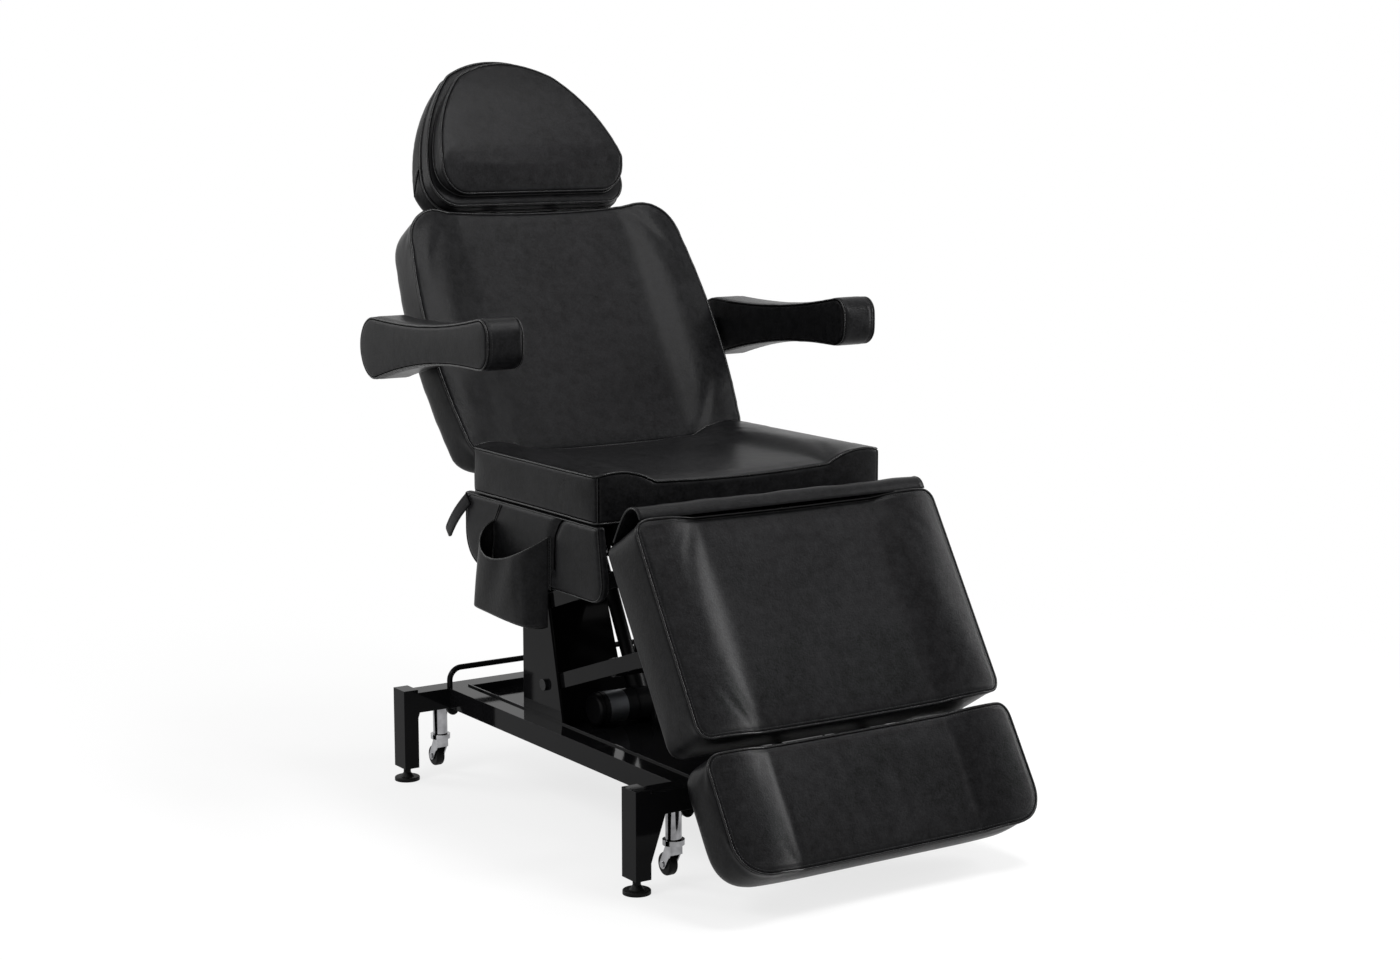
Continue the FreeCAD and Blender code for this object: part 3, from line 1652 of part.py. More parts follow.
def build():
    """Every node's name and its solids, before the origin is set."""
    lift_body, lift_rod = lift_actuator()
    right_pad, left_pad = armrest_pads()
    nodes = {
        "front_leg_frame": [leg_frame_weldment(front_beam_y, True)],
        "rear_leg_frame": [leg_frame_weldment(rear_beam_y, False)],
        "base_rails": base_rails(),
        "base_tray": [base_tray()],
        "rear_loop_bar": [rear_loop_bar()],
        "lift_column": [lift_column()],
        "column_pivot_bolts": column_pivot_bolts(),
        "caster_stems": caster_stems(),
        "caster_clamps": caster_clamps(),
        "lower_lift_frame": [lower_lift_frame()],
        "upper_lift_links": upper_lift_links(),
        "seat_frame": [seat_frame()],
        "seat_cushion": [seat_cushion()],
        "left_side_panel": [side_panel()],
        "right_side_panel": [mirrored(side_panel())],
        "side_pocket": [side_pocket()],
        "pull_strap": [pull_strap()],
        "control_box": [control_box()],
        "back_frame": [back_frame()],
        "backrest_cushion": [backrest_cushion()],
        "headrest_posts": headrest_posts(),
        "headrest_cushion": [headrest_cushion()],
        "headrest_pillow": [headrest_pillow()],
        "right_armrest": [right_pad],
        "left_armrest": [left_pad],
        "right_armrest_bracket": [armrest_bracket(-1)],
        "left_armrest_bracket": [armrest_bracket(1)],
        "leg_frame": [leg_frame()],
        "leg_rest_cushion": [leg_rest_cushion()],
        "hinge_flap": [hinge_flap()],
        "foot_slide_bars": foot_slide_bars(),
        "foot_rest_cushion": [foot_rest_cushion()],
        "lift_actuator": [lift_body],
        "lift_motor": [lift_motor()],
        "lift_rod": [lift_rod],
        "handset_shell": [handset_shell()],
        "handset_holder": handset_holder(),
        "handset_cord": [handset_cord()],
    }
    back = small_actuator(back_actuator_x, -1, (back_base_y, back_base_z),
                          (back_lever_y, back_lever_z), back_closing, back_opening)
    leg = small_actuator(leg_actuator_x, 1, (leg_base_y, leg_base_z),
                         (leg_lever_y, leg_lever_z), leg_closing, leg_opening)
    for name, (body, shaft) in (("back", back), ("leg", leg)):
        nodes[name + "_actuator"] = [body]
        nodes[name + "_rod"] = [shaft]
    for side, hand in ((-1, "right"), (1, "left")):
        for y, end in ((front_beam_y, "front"), (rear_beam_y, "rear")):
            place = "_%s_%s" % (end, hand)
            nodes["levelling_foot" + place] = [levelling_foot(side, y)]
            nodes["caster_fork" + place] = [caster_fork(side, y)]
            nodes["caster_wheel" + place] = [caster_wheel(side, y)]
    for name, shape in keys().items():
        nodes[name] = [shape]
    return nodes


cord_names = ["handset_cord"]


def origin_shift(nodes):
    """The move that puts the origin under the middle of the chair's box."""
    shapes = [s for name, solids in nodes.items() if name not in cord_names for s in solids]
    box = Part.makeCompound(shapes).BoundBox
    return pt(-(box.XMin + box.XMax) / 2, -(box.YMin + box.YMax) / 2, -box.ZMin)


def main():
    """Build every node and write it out."""
    os.makedirs("parts", exist_ok=True)
    nodes = build()
    shift = origin_shift(nodes)
    print("nodes %d, origin shift %s" % (len(nodes), tuple(round(v, 3) for v in shift)))
    for name, solids in nodes.items():
        shape = solids[0] if len(solids) == 1 else Part.makeCompound(solids)
        shape.translate(shift)
        count = len(shape.Solids)
        if not shape.isValid() or count != len(solids):
            print("CHECK %s: valid %s, %d solids for %d" % (name, shape.isValid(), count, len(solids)))
        shape.exportStep("parts/%s.step" % name)


if __name__ == "__main__":
    main()
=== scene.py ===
"""The finished look of a tattoo chair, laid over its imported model: upholstery, paint, chrome,
handset and stage, each made by an operator of its own."""

import math

import bmesh
import bpy
import numpy as np
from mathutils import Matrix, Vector, geometry
from mathutils.bvhtree import BVHTree
from mathutils.kdtree import KDTree


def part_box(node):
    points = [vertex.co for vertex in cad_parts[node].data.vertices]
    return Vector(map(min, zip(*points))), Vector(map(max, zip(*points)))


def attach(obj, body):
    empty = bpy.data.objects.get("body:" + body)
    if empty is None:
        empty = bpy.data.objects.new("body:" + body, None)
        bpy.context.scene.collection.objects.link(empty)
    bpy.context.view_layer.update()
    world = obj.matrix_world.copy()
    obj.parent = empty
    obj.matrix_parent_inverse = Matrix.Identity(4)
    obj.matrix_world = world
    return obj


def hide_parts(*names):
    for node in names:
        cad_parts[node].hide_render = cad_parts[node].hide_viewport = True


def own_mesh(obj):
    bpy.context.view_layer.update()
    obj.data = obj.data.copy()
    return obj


bl_info = {
    "name": "Tattoo Chair Dressing",
    "version": (1, 0, 0),
    "blender": (4, 5, 0),
    "location": "View3D > Sidebar > Tattoo Chair",
    "description": "Builds the upholstery, finishes and stage of a tattoo chair over its model",
    "category": "Object",
}

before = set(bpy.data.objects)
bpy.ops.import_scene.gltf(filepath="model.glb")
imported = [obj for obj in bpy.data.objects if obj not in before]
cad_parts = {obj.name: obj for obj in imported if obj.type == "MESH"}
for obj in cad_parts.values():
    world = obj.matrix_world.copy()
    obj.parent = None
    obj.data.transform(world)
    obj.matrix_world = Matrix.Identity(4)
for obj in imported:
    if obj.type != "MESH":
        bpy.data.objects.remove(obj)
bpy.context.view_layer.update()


# Places

BEAM_Y = -0.341
beam_low, beam_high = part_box("front_leg_frame")
SHIFT = (beam_low.y + beam_high.y) / 2 - BEAM_Y


class Panel:
    """A cushion's own frame: x across, v behind its face and u up its face."""

    def __init__(self, tilt, y, z):
        self.sin = math.sin(math.radians(tilt))
        self.cos = math.cos(math.radians(tilt))
        self.y = y + SHIFT
        self.z = z

    def world(self, points):
        """Places in the panel's frame as places in the chair's."""
        x, v, u = np.asarray(points, float).reshape(-1, 3).T
        y = self.y + u * self.sin + v * self.cos
        return np.stack([x, y, self.z + u * self.cos - v * self.sin], 1)

    def local(self, points):
        """Places in the chair's frame as places in the panel's."""
        x, y, z = np.asarray(points, float).reshape(-1, 3).T
        y, z = y - self.y, z - self.z
        return np.stack([x, y * self.cos - z * self.sin, y * self.sin + z * self.cos], 1)


LEVEL = Panel(0.0, 0.0, 0.0)
BACK = Panel(31.5, 0.2607, 0.600)
LEG = Panel(31.6, -0.2773, 0.614)
SIDES = ((-1, "right"), (1, "left"))
# how far inside a round corner's point its middle lies, for a radius of one
BEND = 1 - math.sqrt(0.5)


# Settings that a user would change


class ChairSizes(bpy.types.PropertyGroup):
    """Sizes of the upholstery's details."""

    voxel: bpy.props.FloatProperty(
        name="Mesh pitch", description="Size of the cushions' faces", default=0.0055,
        min=0.003, max=0.02, unit="LENGTH",
    )
    piping: bpy.props.FloatProperty(
        name="Piping", description="Radius of the piping along the seams", default=0.0021,
        min=0.0005, max=0.006, unit="LENGTH",
    )
    seam_depth: bpy.props.FloatProperty(
        name="Seam depth", description="How far a seam draws the cover in", default=0.0019,
        min=0.0, max=0.01, unit="LENGTH",
    )
    stitch_pitch: bpy.props.FloatProperty(
        name="Stitch pitch", description="Distance from one stitch to the next", default=0.0048,
        min=0.002, max=0.02, unit="LENGTH",
    )
    pressure: bpy.props.FloatProperty(
        name="Filling pressure", description="How hard the filling pushes the covers out",
        default=4.0, min=0.0, max=20.0,
    )


class ChairColours(bpy.types.PropertyGroup):
    """Colours of the finishes."""

    vinyl: bpy.props.FloatVectorProperty(
        name="Vinyl", description="Colour of the covers", subtype="COLOR", size=3,
        default=(0.0052, 0.0052, 0.0056), min=0.0, max=1.0,
    )
    paint: bpy.props.FloatVectorProperty(
        name="Paint", description="Colour of the painted steel", subtype="COLOR", size=3,
        default=(0.0032, 0.0032, 0.0035), min=0.0, max=1.0,
    )
    chrome: bpy.props.FloatVectorProperty(
        name="Chrome", description="Colour of the plated pieces", subtype="COLOR", size=3,
        default=(0.30, 0.30, 0.31), min=0.0, max=1.0,
    )
    plastic: bpy.props.FloatVectorProperty(
        name="Plastic", description="Colour of the handset and its holder", subtype="COLOR",
        size=3, default=(0.0085, 0.0095, 0.0125), min=0.0, max=1.0,
    )
    floor: bpy.props.FloatVectorProperty(
        name="Floor", description="Colour of the floor", subtype="COLOR", size=3,
        default=(0.88, 0.88, 0.88), min=0.0, max=1.0,
    )


def sizes():
    """The scene's sizes."""
    return bpy.context.scene.chair_sizes


def colours():
    """The scene's colours."""
    return bpy.context.scene.chair_colours


# Materials

WHITE = (1.0, 1.0, 1.0, 1.0)
SMALL_EDGE = 0.0005


class Signal:
    """A number that runs through a shader, so that maths on it adds nodes."""

    def __init__(self, tree, socket):
        self.tree = tree
        self.socket = socket

    def maths(self, operation, first, second):
        """The result of an operation on two numbers."""
        node = add_node(self.tree, "ShaderNodeMath", {0: first, 1: second}, operation=operation)
        return Signal(self.tree, node.outputs[0])

    def __add__(self, other):
        return self.maths("ADD", self, other)

    def __sub__(self, other):
        return self.maths("SUBTRACT", self, other)

    def __mul__(self, other):
        return self.maths("MULTIPLY", self, other)


def add_node(tree, kind, inputs, **settings):
    """Any node, with the values or links of its sockets and its settings."""
    node = tree.nodes.new(kind)
    for key, value in settings.items():
        setattr(node, key, value)
    for key, value in inputs.items():
        if isinstance(value, Signal):
            value = value.socket
        if isinstance(value, bpy.types.NodeSocket):
            tree.links.new(value, node.inputs[key])
        else:
            node.inputs[key].default_value = value
    return node


def seen_rays(tree):
    """One for rays from the camera and for those by way of a mirror or glass."""
    path = add_node(tree, "ShaderNodeLightPath", {})
    seen = Signal(tree, path.outputs["Is Camera Ray"])
    for ray in ("Is Glossy Ray", "Is Transmission Ray"):
        seen = seen.maths("MAXIMUM", seen, path.outputs[ray])
    return seen


class Finish:
    """A material under construction."""

    def __init__(self, name):
        self.material = bpy.data.materials.new(name)
        self.material.use_nodes = True
        self.tree = self.material.node_tree
        self.tree.nodes.clear()
        self.place = self.add("ShaderNodeTexCoord", {}).outputs["Object"]

    def add(self, kind, inputs, **settings):
        """Any node of the material."""
        return add_node(self.tree, kind, inputs, **settings)

    def noise(self, scale, detail=3.0, roughness=0.5):
        """Soft noise, in cells for each metre."""
        sockets = {"Vector": self.place, "Scale": scale, "Detail": detail, "Roughness": roughness}
        return Signal(self.tree, self.add("ShaderNodeTexNoise", sockets).outputs["Fac"])

    def tone(self, amount, base, low, high):
        """A base colour, between a darker and a lighter tint of it."""
        dark, light = [(*(min(1.0, c * factor) for c in base), 1.0) for factor in (low, high)]
        node = self.add("ShaderNodeMix", {0: amount, 6: dark, 7: light}, data_type="RGBA")
        return node.outputs[2]

    def bump(self, height, distance, strength, normal=None):
        """A surface pushed in and out by a number."""
        sockets = {"Height": height, "Distance": distance, "Strength": strength}
        if normal is not None:
            sockets["Normal"] = normal
        return self.add("ShaderNodeBump", sockets).outputs["Normal"]

    def soft_edge(self, radius):
        """A normal that rounds the edges off."""
        return self.add("ShaderNodeBevel", {"Radius": radius}, samples=4).outputs["Normal"]

    def surface(self, fixed, colour, roughness, normal=None):
        """The finished material, with its fixed numbers and what varies over it."""
        sockets = {**fixed, "Base Color": colour, "Roughness": roughness}
        if normal is not None:
            sockets["Normal"] = normal
        shader = self.add("ShaderNodeBsdfPrincipled", sockets)
        self.add("ShaderNodeOutputMaterial", {"Surface": shader.outputs[0]})
        return self.material


def vinyl_finish(name, factor=1.0, sheen=0.055, rough=0.32):
    """Fine-grained vinyl, with a soft sheen that varies a little."""
    f = Finish(name)
    cloud = f.noise(7.0, 4.0, 0.55)
    mottle = f.noise(60.0, 5.0, 0.68)
    patches = f.noise(260.0, 4.0, 0.65)
    cells = {"Vector": f.place, "Scale": 1100.0}
    grain = f.add("ShaderNodeTexVoronoi", cells, feature="SMOOTH_F1").outputs["Distance"]
    contrast = 4.6
    tone = (cloud * 0.2 + mottle * 0.4 + patches * 0.4 - 0.5) * contrast + 0.5
    colour = f.tone(tone, colours().vinyl, 0.40 * factor, 1.75 * factor)
    roughness = cloud * 0.08 + mottle * 0.12 + patches * 0.12 + (rough - 0.16)
    normal = None
    for height, distance, strength in (
        (f.noise(24.0, 2.0, 0.5), 0.0012, 0.35), (mottle, 0.0007, 0.30),
        (patches, 0.0005, 0.60), (grain, 0.00022, 0.70),
    ):
        normal = f.bump(height, distance, strength, normal)
    return f.surface({"Specular IOR Level": sheen, "IOR": 1.5}, colour, roughness, normal)


def paint_finish(name, rough=0.07, factor=1.0, specular=0.05):
    """Sprayed paint on steel: a slight orange peel and softened edges."""
    f = Finish(name)
    dust = f.noise(14.0, 5.0, 0.6)
    colour = f.tone(dust, colours().paint, 0.8 * factor, 1.6 * factor)
    normal = f.bump(f.noise(420.0, 2.0, 0.5), 0.00004, 0.06, f.soft_edge(0.0012))
    fixed = {"Specular IOR Level": specular, "IOR": 1.5}
    return f.surface(fixed, colour, dust * 0.06 + (rough - 0.03), normal)


def chrome_finish(name, rough=0.07):
    """Bright plating with fine rubbing marks, and soft streaks of painted reflection in its colour."""
    f = Finish(name)
    marks = f.noise(700.0, 3.0, 0.6)
    cloud = f.noise(30.0, 3.0, 0.5)
    # the cloud noise lightens and darkens the plating in soft streaks: painted reflections
    colour = f.tone((cloud - 0.5) * 2.5 + 0.5, colours().chrome, 0.55, 1.35)
    normal = f.bump(marks, 0.00005, 0.12, f.soft_edge(0.0006))
    return f.surface({"Metallic": 1.0}, colour, marks * 0.06 + cloud * 0.05 + (rough - 0.04), normal)


def steel_finish(name, base, rough):
    """Ground or brushed metal."""
    f = Finish(name)
    marks = f.noise(900.0, 4.0, 0.65)
    colour = f.tone(f.noise(45.0, 3.0, 0.5), base, 0.75, 1.1)
    normal = f.bump(marks, 0.00008, 0.2, f.soft_edge(SMALL_EDGE))
    return f.surface({"Metallic": 1.0}, colour, marks * 0.14 + (rough - 0.05), normal)


def plastic_finish(name, base, rough, specular, pitch=1500.0):
    """Moulded plastic or rubber with a fine spark texture."""
    f = Finish(name)
    spark = f.noise(pitch, 3.0, 0.7)
    cloud = f.noise(20.0, 3.0, 0.5)
    colour = f.tone(cloud, base or colours().plastic, 0.8, 1.25)
    normal = f.bump(spark, 0.00008, 0.25, f.soft_edge(SMALL_EDGE))
    roughness = spark * 0.12 + cloud * 0.06 + (rough - 0.09)
    return f.surface({"Specular IOR Level": specular}, colour, roughness, normal)


def print_finish(name, base):
    """A thin printed mark."""
    f = Finish(name)
    wear = f.noise(900.0, 3.0, 0.6)
    return f.surface({"Specular IOR Level": 0.3}, f.tone(wear, base, 0.8, 1.05), wear * 0.1 + 0.45)


FINISHES = {
    "vinyl": (vinyl_finish, "black_vinyl"),
    "piping": (vinyl_finish, "black_vinyl_piping", 0.8, 0.16, 0.24),
    # near-black and without sheen: the painted shade lines beside the seams and along the side panel's
    # fold
    "crease": (plastic_finish, "seam_crease", (0.0012, 0.0012, 0.0013), 0.8, 0.0, 900.0),
    "thread": (plastic_finish, "black_thread", (0.016, 0.016, 0.017), 0.45, 0.2, 3000.0),
    "paint": (paint_finish, "gloss_black_paint"),
    "satin": (paint_finish, "satin_black_paint", 0.26, 1.3, 0.16),
    "chrome": (chrome_finish, "bright_chrome"),
    "steel": (steel_finish, "ground_steel", (0.45, 0.45, 0.46), 0.28),
    "label": (steel_finish, "silver_label", (0.13, 0.135, 0.145), 0.42),
    "plastic": (plastic_finish, "moulded_plastic", None, 0.40, 0.2),
    "rubber": (plastic_finish, "wheel_rubber", (0.004, 0.004, 0.004), 0.5, 0.09, 700.0),
    "housing": (plastic_finish, "drive_housing", (0.004, 0.004, 0.0045), 0.4, 0.10),
    "keys": (plastic_finish, "key_rubber", (0.020, 0.023, 0.025), 0.5, 0.35, 1200.0),
    "cord": (plastic_finish, "cord_rubber", (0.013, 0.013, 0.014), 0.46, 0.4),
    "pale": (print_finish, "key_marks", (0.55, 0.62, 0.62)),
    "teal": (print_finish, "key_rings", (0.10, 0.17, 0.16)),
}


def finish(name):
    """A named material, made when it is first asked for."""
    key = "chair_" + name
    known = bpy.data.materials.get(bpy.context.scene.get(key, ""))
    if known is None:
        make, *values = FINISHES[name]
        known = make(*values)
        bpy.context.scene[key] = known.name
    return known


def paint_nodes(name, *nodes):
    """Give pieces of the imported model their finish."""
    for node in nodes:
        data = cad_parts[node].data
        data.materials.clear()
        data.materials.append(finish(name))


# Outlines


def arc(a, b, c, pitch):
    """Points on the circle arc from a through b to c, without a itself."""
    ax, ay = a
    bx, by = b[0] - ax, b[1] - ay
    cx, cy = c[0] - ax, c[1] - ay
    d = 2 * (bx * cy - by * cx)
    if abs(d) < 1e-12:
        return straight(a, c, pitch)
    ux = (cy * (bx * bx + by * by) - by * (cx * cx + cy * cy)) / d
    uy = (bx * (cx * cx + cy * cy) - cx * (bx * bx + by * by)) / d
    r = math.hypot(ux, uy)
    start = math.atan2(-uy, -ux)
    mid = (math.atan2(by - uy, bx - ux) - start) % math.tau
    end = (math.atan2(cy - uy, cx - ux) - start) % math.tau
    if mid > end:
        end -= math.tau
    count = max(3, int(abs(end) * r / pitch))
    angles = [start + end * (i + 1) / count for i in range(count)]
    return [(ax + ux + r * math.cos(t), ay + uy + r * math.sin(t)) for t in angles]


def straight(a, b, pitch):
    """Points on the straight line from a to b, without a itself."""
    run, rise = b[0] - a[0], b[1] - a[1]
    count = max(1, int(math.hypot(run, rise) / pitch))
    return [(a[0] + run * (i + 1) / count, a[1] + rise * (i + 1) / count) for i in range(count)]


def traced(steps, pitch=0.006):
    """A closed outline as points. Each step is an end point, or a mid point and an end point."""
    points = [steps[0][-1]]
    for step in steps[1:]:
        run = straight if len(step) == 1 else arc
        points += run(points[-1], *step, pitch)
    if math.dist(points[0], points[-1]) > 1e-6:
        points += straight(points[-1], points[0], pitch)
    return points[:-1]


def mirrored(steps):
    """A whole outline's steps from those of its right half, whose last one crosses over."""

    def flip(p):
        return (-p[0], p[1])

    back = [
        (*(flip(p) for p in steps[i][:-1]), flip(steps[i - 1][-1]))
        for i in range(len(steps) - 2, 0, -1)
    ]
    return [(flip(steps[0][-1]),)] + steps + back


def box_steps(half, low, high, corner_low, corner_high):
    """An outline with round low and high corners."""
    by, top_by = corner_low * BEND, corner_high * BEND
    return mirrored([
        ((half - corner_low, low),),
        ((half - by, low + by), (half, low + corner_low)),
        ((half, high - corner_high),),
        ((half - top_by, high - top_by), (half - corner_high, high)),
        ((-half + corner_high, high),),
    ])


def back_steps():
    """The backrest's outline."""
    foot, top, corner, low_corner = 0.040, 0.575, 0.080, 0.062
    low, head, wide, dip = 0.306, 0.304, 0.321, 0.008
    by, low_by = corner * BEND, low_corner * BEND
    head_low, foot_high = top - corner, foot + low_corner
    return mirrored([
        ((low - low_corner, foot),),
        ((low - low_by, foot + low_by), (low, foot_high)),
        ((wide, (head_low + foot_high) / 2), (head, head_low)),
        ((head - by, top - by), (head - corner, top)),
        ((0, top - dip), (-head + corner, top)),
    ])


def dome_steps(half, low, top, corner):
    """The headrest's outline: a flat arc on top and a bowed arc down each side."""
    by = corner * BEND
    ear = low + 0.062
    shoulder = (half * 0.52, top - 0.033)
    return mirrored([
        ((half - corner, low),),
        ((half - by, low + by), (half, low + corner)),
        ((half, ear),),
        ((half * 0.8, ear + (shoulder[1] - ear) * 0.61), shoulder),
        ((0, top), (-shoulder[0], shoulder[1])),
    ])


def arm_steps():
    """An armrest's outline from the side, in (y, z)."""
    y, z, lobe, nose = 0.455, 0.843, 0.057, 0.016
    front, waist = y - 0.430, y - 0.430 * 0.498
    by = nose * BEND
    top, low = z + 0.084, z - 0.004
    return [
        ((y, z - lobe),),
        ((waist, z - 0.013), (front + nose, low)),
        ((front + by, low + by), (front, low + nose)),
        ((front, top - nose),),
        ((front + by, top - by), (front + nose, top)),
        ((waist, z + 0.0585), (y, z + lobe)),
        ((y + lobe, z), (y, z - lobe)),
    ]


def side_steps():
    """A side panel's outline in (y, z)."""
    front, rear, corner, tail, low, top = -0.163, 0.322, 0.036, 0.062, 0.447, 0.583
    by, tail_by = corner * BEND, tail * BEND
    return [
        ((rear, top),),
        ((rear, low + tail),),
        ((rear - tail_by, low + tail_by), (rear - tail, low)),
        ((front + corner, low),),
        ((front + by, low + by), (front, low + corner)),
        ((-0.149, top),),
    ]


def inset(points, by):
    """A closed outline moved inwards by a distance."""
    p = np.array(points)
    along = np.roll(p, -1, 0) - np.roll(p, 1, 0)
    along /= np.maximum(np.linalg.norm(along, axis=1), 1e-9)[:, None]
    area = np.sum(p[:, 0] * np.roll(p[:, 1], -1) - np.roll(p[:, 0], -1) * p[:, 1])
    side = 1.0 if area > 0 else -1.0
    normal = np.stack([-along[:, 1], along[:, 0]], 1) * side
    return [tuple(q) for q in p + normal * by]


def refined(line, closed, pitch=0.003):
    """The line with points no further apart than a pitch."""
    out = []
    n = len(line)
    for i in range(n if closed else n - 1):
        a, b = np.array(line[i]), np.array(line[(i + 1) % n])
        steps = max(1, int(math.ceil(np.linalg.norm(b - a) / pitch)))
        out += [tuple(a + (b - a) * k / steps) for k in range(steps)]
    if not closed:
        out.append(tuple(line[-1]))
    return out


def evened(points, rounds, closed):
    """A line's points drawn towards their neighbours along it."""
    for _ in range(rounds):
        middle = (np.roll(points, -1, 0) + np.roll(points, 1, 0) + 2 * points) / 4
        if not closed:
            middle[0], middle[-1] = points[0], points[-1]
        points = middle
    return points


def travelled(points):
    """How far along a line each of its points lies."""
    steps = np.linalg.norm(np.diff(points, axis=0), axis=1)
    return np.concatenate([[0.0], np.cumsum(steps)])


def bolstered(half, width, rise, hollow):
    """How far behind its edge a cushion's face lies, as a function of x."""
    crest, foot = half - width / 2, half - width
    crown = (0.0, hollow + rise), (foot / 2, hollow + rise * 0.75), (foot, hollow)
    bolster = (foot, hollow), (crest, -rise), (half, 0.0)
    tables = [list(zip(*([line[0]] + arc(*line, 0.002)))) for line in (crown, bolster)]

    def depth(x):
        x = min(abs(x), half)
        return float(np.interp(x, *tables[1 if x > foot else 0]))

    return depth


def eased(values, start, end):
    """Nought before a start, one past an end, and smooth between them."""
    share = np.clip((np.asarray(values) - start) / (end - start), 0.0, 1.0)
    return share * share * (3 - 2 * share)


# Meshes


def new_object(name, data, material=None):
    """An object with its data in place, linked to the scene."""
    obj = bpy.data.objects.new(name, data)
    bpy.context.scene.collection.objects.link(obj)
    if material is not None:
        obj.data.materials.append(finish(material))
    return obj


def shade_smooth(obj):
    """Shade all of a mesh's faces smoothly."""
    obj.data.polygons.foreach_set("use_smooth", [True] * len(obj.data.polygons))


def mesh_of(name, vertices, faces, material=None):
    """An object made of vertices and faces."""
    data = bpy.data.meshes.new(name)
    data.from_pydata([tuple(v) for v in vertices], [], faces)
    data.validate()
    data.update()
    return new_object(name, data, material)


def vectors(data, key="co"):
    """A vector of each of a mesh's vertices."""
    out = np.zeros(len(data.vertices) * 3, np.float32)
    data.vertices.foreach_get(key, out)
    return out.reshape(-1, 3).astype(float)


def move(obj, points):
    """Set the places of a mesh's vertices."""
    obj.data.vertices.foreach_set("co", np.asarray(points, np.float32).ravel())
    obj.data.update()


def settled(obj):
    """The object with its modifiers worked into a plain mesh."""
    graph = bpy.context.evaluated_depsgraph_get()
    data = bpy.data.meshes.new_from_object(obj.evaluated_get(graph), depsgraph=graph)
    old = obj.data
    obj.modifiers.clear()
    obj.data = data
    data.name = obj.name
    if old.users == 0:
        bpy.data.meshes.remove(old)
    return obj


def with_modifier(obj, kind, **settings):
    """Add a modifier and work it in."""
    modifier = obj.modifiers.new(kind.lower(), kind)
    for key, value in settings.items():
        setattr(modifier, key, value)
    settled(obj)


def merged(data, gap, turned=False):
    """Join a mesh's vertices across a small gap, and turn its faces outwards if asked."""
    mesh = bmesh.new()
    mesh.from_mesh(data)
    bmesh.ops.remove_doubles(mesh, verts=mesh.verts, dist=gap)
    if turned:
        bmesh.ops.recalc_face_normals(mesh, faces=mesh.faces)
    mesh.to_mesh(data)
    mesh.free()


def grid_faces(across, up):
    """The faces between the points of a grid, whose columns follow each other."""
    n = up + 1
    return [
        (i * n + k, i * n + k + 1, (i + 1) * n + k + 1, (i + 1) * n + k)
        for i in range(across) for k in range(up)
    ]


def ring_faces(rings, sides, closed):
    """The faces between rings of points that follow each other."""
    return [
        (i * sides + k, i * sides + (k + 1) % sides,
         (i + 1) % rings * sides + (k + 1) % sides, (i + 1) % rings * sides + k)
        for i in range(rings if closed else rings - 1) for k in range(sides)
    ]


def smoothed(points, edges, rounds, held=None):
    """Vertices drawn halfway towards the middle of their neighbours, save where held."""
    size = len(points)
    near = np.concatenate([edges[:, 0], edges[:, 1]])
    far = np.concatenate([edges[:, 1], edges[:, 0]])
    count = np.maximum(np.bincount(near, minlength=size), 1)[:, None]
    for _ in range(rounds):
        total = np.stack(
            [np.bincount(near, weights=points[far, k], minlength=size) for k in range(3)], 1
        )
        step = (total / count - points) * 0.5
        if held is not None:
            step *= (1 - held)[:, None]
        points = points + step
    return points


def point_tree(points):
    """A tree that finds the nearest of some points."""
    tree = KDTree(len(points))
    for i, p in enumerate(points):
        tree.insert(p, i)
    tree.balance()
    return tree


def distances(points, lines):
    """How far each point lies from the nearest of some lines."""
    tree = point_tree([tuple(p) for line in lines for p in line])
    return np.array([tree.find(p)[2] for p in points])


def surface_tree(obj):
    """A tree that finds the nearest place on a mesh."""
    return BVHTree.FromObject(obj, bpy.context.evaluated_depsgraph_get())


def snapped(line, obj, lift, rounds, closed):
    """The line laid on a mesh's surface, lifted off it and smoothed along its length."""
    tree, reach = surface_tree(obj), 0.03
    points = []
    for p in line:
        place, normal, _, _ = tree.find_nearest(Vector(p), reach)
        points.append(np.array(place + normal * lift if place else p))
    return evened(np.array(points), rounds, closed)


def beside(line, obj, by, closed):
    """A line on a mesh's surface, moved along it to one side."""
    tree = surface_tree(obj)
    points = np.asarray(line, float)
    normals = evened(np.array([tree.find_nearest(Vector(p))[1] for p in points]), 8, True)
    tangents = np.roll(points, -1, 0) - np.roll(points, 1, 0)
    if not closed:
        tangents[0], tangents[-1] = points[1] - points[0], points[-1] - points[-2]
    side = np.cross(tangents, normals)
    side /= np.maximum(np.linalg.norm(side, axis=1), 1e-9)[:, None]
    return snapped(points + side * by, obj, -0.0001, 2, closed)


def drawn_to(points, lines, laid, reach):
    """Vertices near some lines moved so that the surface meets those lines again."""
    targets = np.concatenate([np.asarray(line, float) for line in lines])
    places = np.concatenate([np.asarray(line, float) for line in laid])
    tree = point_tree(places)
    out = points.copy()
    for i, p in enumerate(points):
        _, index, distance = tree.find(p)
        if distance < 3 * reach:
            out[i] += (targets[index] - places[index]) * math.exp(-(distance / reach) ** 2)
    return out


def pressed(obj, lines, depth, width):
    """Draw the surface in along some lines."""
    points = vectors(obj.data)
    step = depth * np.exp(-(distances(points, lines) / width) ** 2)
    move(obj, points - vectors(obj.data, "normal") * step[:, None])


# Node groups for what runs along a line


def round_cord(add, start, line):
    """A round cord along a curve."""
    ring = add("GeometryNodeCurvePrimitiveCircle", {"Resolution": 8, "Radius": start["Radius"]})
    ends = {"Curve": line, "Profile Curve": ring, "Fill Caps": True}
    return add("GeometryNodeCurveToMesh", ends)


